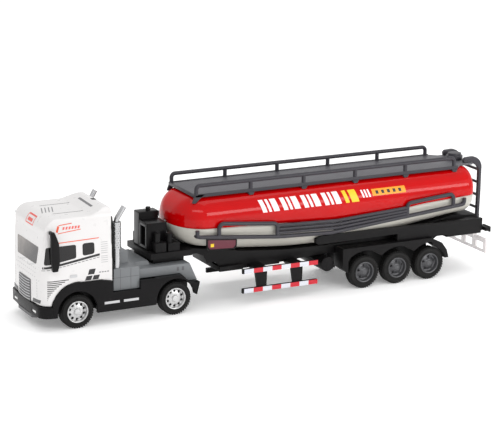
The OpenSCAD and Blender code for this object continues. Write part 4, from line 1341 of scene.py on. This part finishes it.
# %% Bumper lip and cabinet trim
lip = Shape(FRONT_X)
lip_outline = [(0.3, -10.5), (0.3, 10.5), (2.6, 12.5), (4.6, 12.5), (4.6, -12.5), (2.6, -12.5)]
lip.prism(lip_outline, "z", 5.6, 8.2)
finish("bumper_lip", lip.to_mesh("lip", 0.4), TRIM_GREY, "tractor", "dark_grille")
front_k = (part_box("pump_cabinet")[0].x - KING_X) / MM
trim = Shape(KING_X)
for low, high in (((-8.6, 38.2), (-7.5, 52.8)), ((0.2, 38.2), (1.4, 52.8)),
                  ((-8.6, 38.2), (1.4, 39.4)), ((-8.6, 51.6), (1.4, 52.8))):
    trim.block((front_k - 0.3, low[0], low[1]), (front_k + 0.6, high[0], high[1]))
trim.block((front_k - 0.2, 2.4, 38), (front_k + 0.3, 9.2, 57.8))
finish("cabinet_trim", trim.to_mesh("trim", 0.15), TRIM_GREY, "trailer", "black_plastic")

# %% [markdown]
# ## Parts that keep their CAD shape
# Axles, screws and the kingpin are plain turned steel, and the seats sit behind dark glass.

# %% Materials for the CAD parts that stay
KEPT = {"cab_interior": BLACK, "kingpin": STEEL, "tractor_screws": STEEL,
        "trailer_screws": STEEL}
for axle, _, _ in AXLES:
    KEPT[axle + "_axle"] = STEEL
for node, material in KEPT.items():
    frame["nodes"][node].material_slots[0].material = material

# %% [markdown]
# ## Studio
# The floor is plain and pale. Wide soft lights hang over the truck, and a long low one puts
# a streak of gloss on the tank. The camera sees the left side and the front of the cab.

# %% Floor and lights
FLOOR_HALF = 4
floor_outline = box(-FLOOR_HALF, -FLOOR_HALF, FLOOR_HALF, FLOOR_HALF)
floor_mesh = bpy.data.meshes.new("floor")
floor_mesh.from_pydata([(u, v, 0) for u, v in floor_outline], [], [(0, 1, 2, 3)])
floor = linked("floor", floor_mesh)
floor_paint = Paint("floor_pale", {"Roughness": 0.6})
dust = floor_paint.noise(60, 3)
WHITE = (1, 1, 1)
floor_paint.feed("Base Color", floor_paint.mix(dust, shade(WHITE, 0.95), shade(WHITE, 0.97)))
floor_paint.feed("Emission Color", shade(WHITE, 1))
floor_paint.feed("Emission Strength", 0.2)
floor_mesh.materials.append(floor_paint.material)

world = bpy.data.worlds.new("studio")
bpy.context.scene.world = world
world.use_nodes = True
sky = world.node_tree.nodes["Background"].inputs
sky["Color"].default_value = shade(WHITE, 1)
sky["Strength"].default_value = 0.82
bpy.context.scene.view_settings.view_transform = "Standard"


def soft_light(name, place, aim, size, watts):
    """A rectangular soft box that points at a spot on the truck."""
    lamp = bpy.data.lights.new(name, "AREA")
    lamp.shape = "RECTANGLE"
    lamp.size, lamp.size_y = size
    lamp.energy = watts
    holder = linked(name, lamp)
    holder.location = place
    holder.rotation_euler = (Vector(aim) - Vector(place)).to_track_quat("-Z", "Y").to_euler()
    holder.visible_camera = False


soft_light("key", (-0.5, -0.75, 0.75), (0, 0, 0.04), (0.9, 0.2), 1.9)
soft_light("top", (0.1, 0.1, 1.0), (0, 0, 0.05), (1.0, 0.8), 3)
soft_light("fill", (0.8, -0.7, 0.4), (0, 0, 0.04), (0.6, 0.5), 0.6)
soft_light("streak", (0.28, -0.45, 0.20), (0.28, 0, 0.06), (0.45, 0.11), 0.95)

# %% Camera
CAMERA_PLACE = Vector((-0.5551, -1.0423, 0.3593))
HEADING, DOWN, ROLL = (math.radians(a) for a in (27.78, 14.75, 0.9))
ahead = Vector((math.sin(HEADING) * math.cos(DOWN), math.cos(HEADING) * math.cos(DOWN),
                -math.sin(DOWN)))
level = Vector((math.cos(HEADING), -math.sin(HEADING), 0))
upright = level.cross(ahead)
right = math.cos(ROLL) * level + math.sin(ROLL) * upright
up = math.cos(ROLL) * upright - math.sin(ROLL) * level
camera_data = bpy.data.cameras.new("camera")
camera_data.sensor_width = 36
camera_data.lens = 140.33
camera_data.clip_start = 0.05
camera = linked("camera", camera_data)
turn = Matrix((right, up, -ahead)).transposed().to_4x4()
camera.matrix_world = Matrix.Translation(CAMERA_PLACE) @ turn
bpy.context.scene.camera = camera
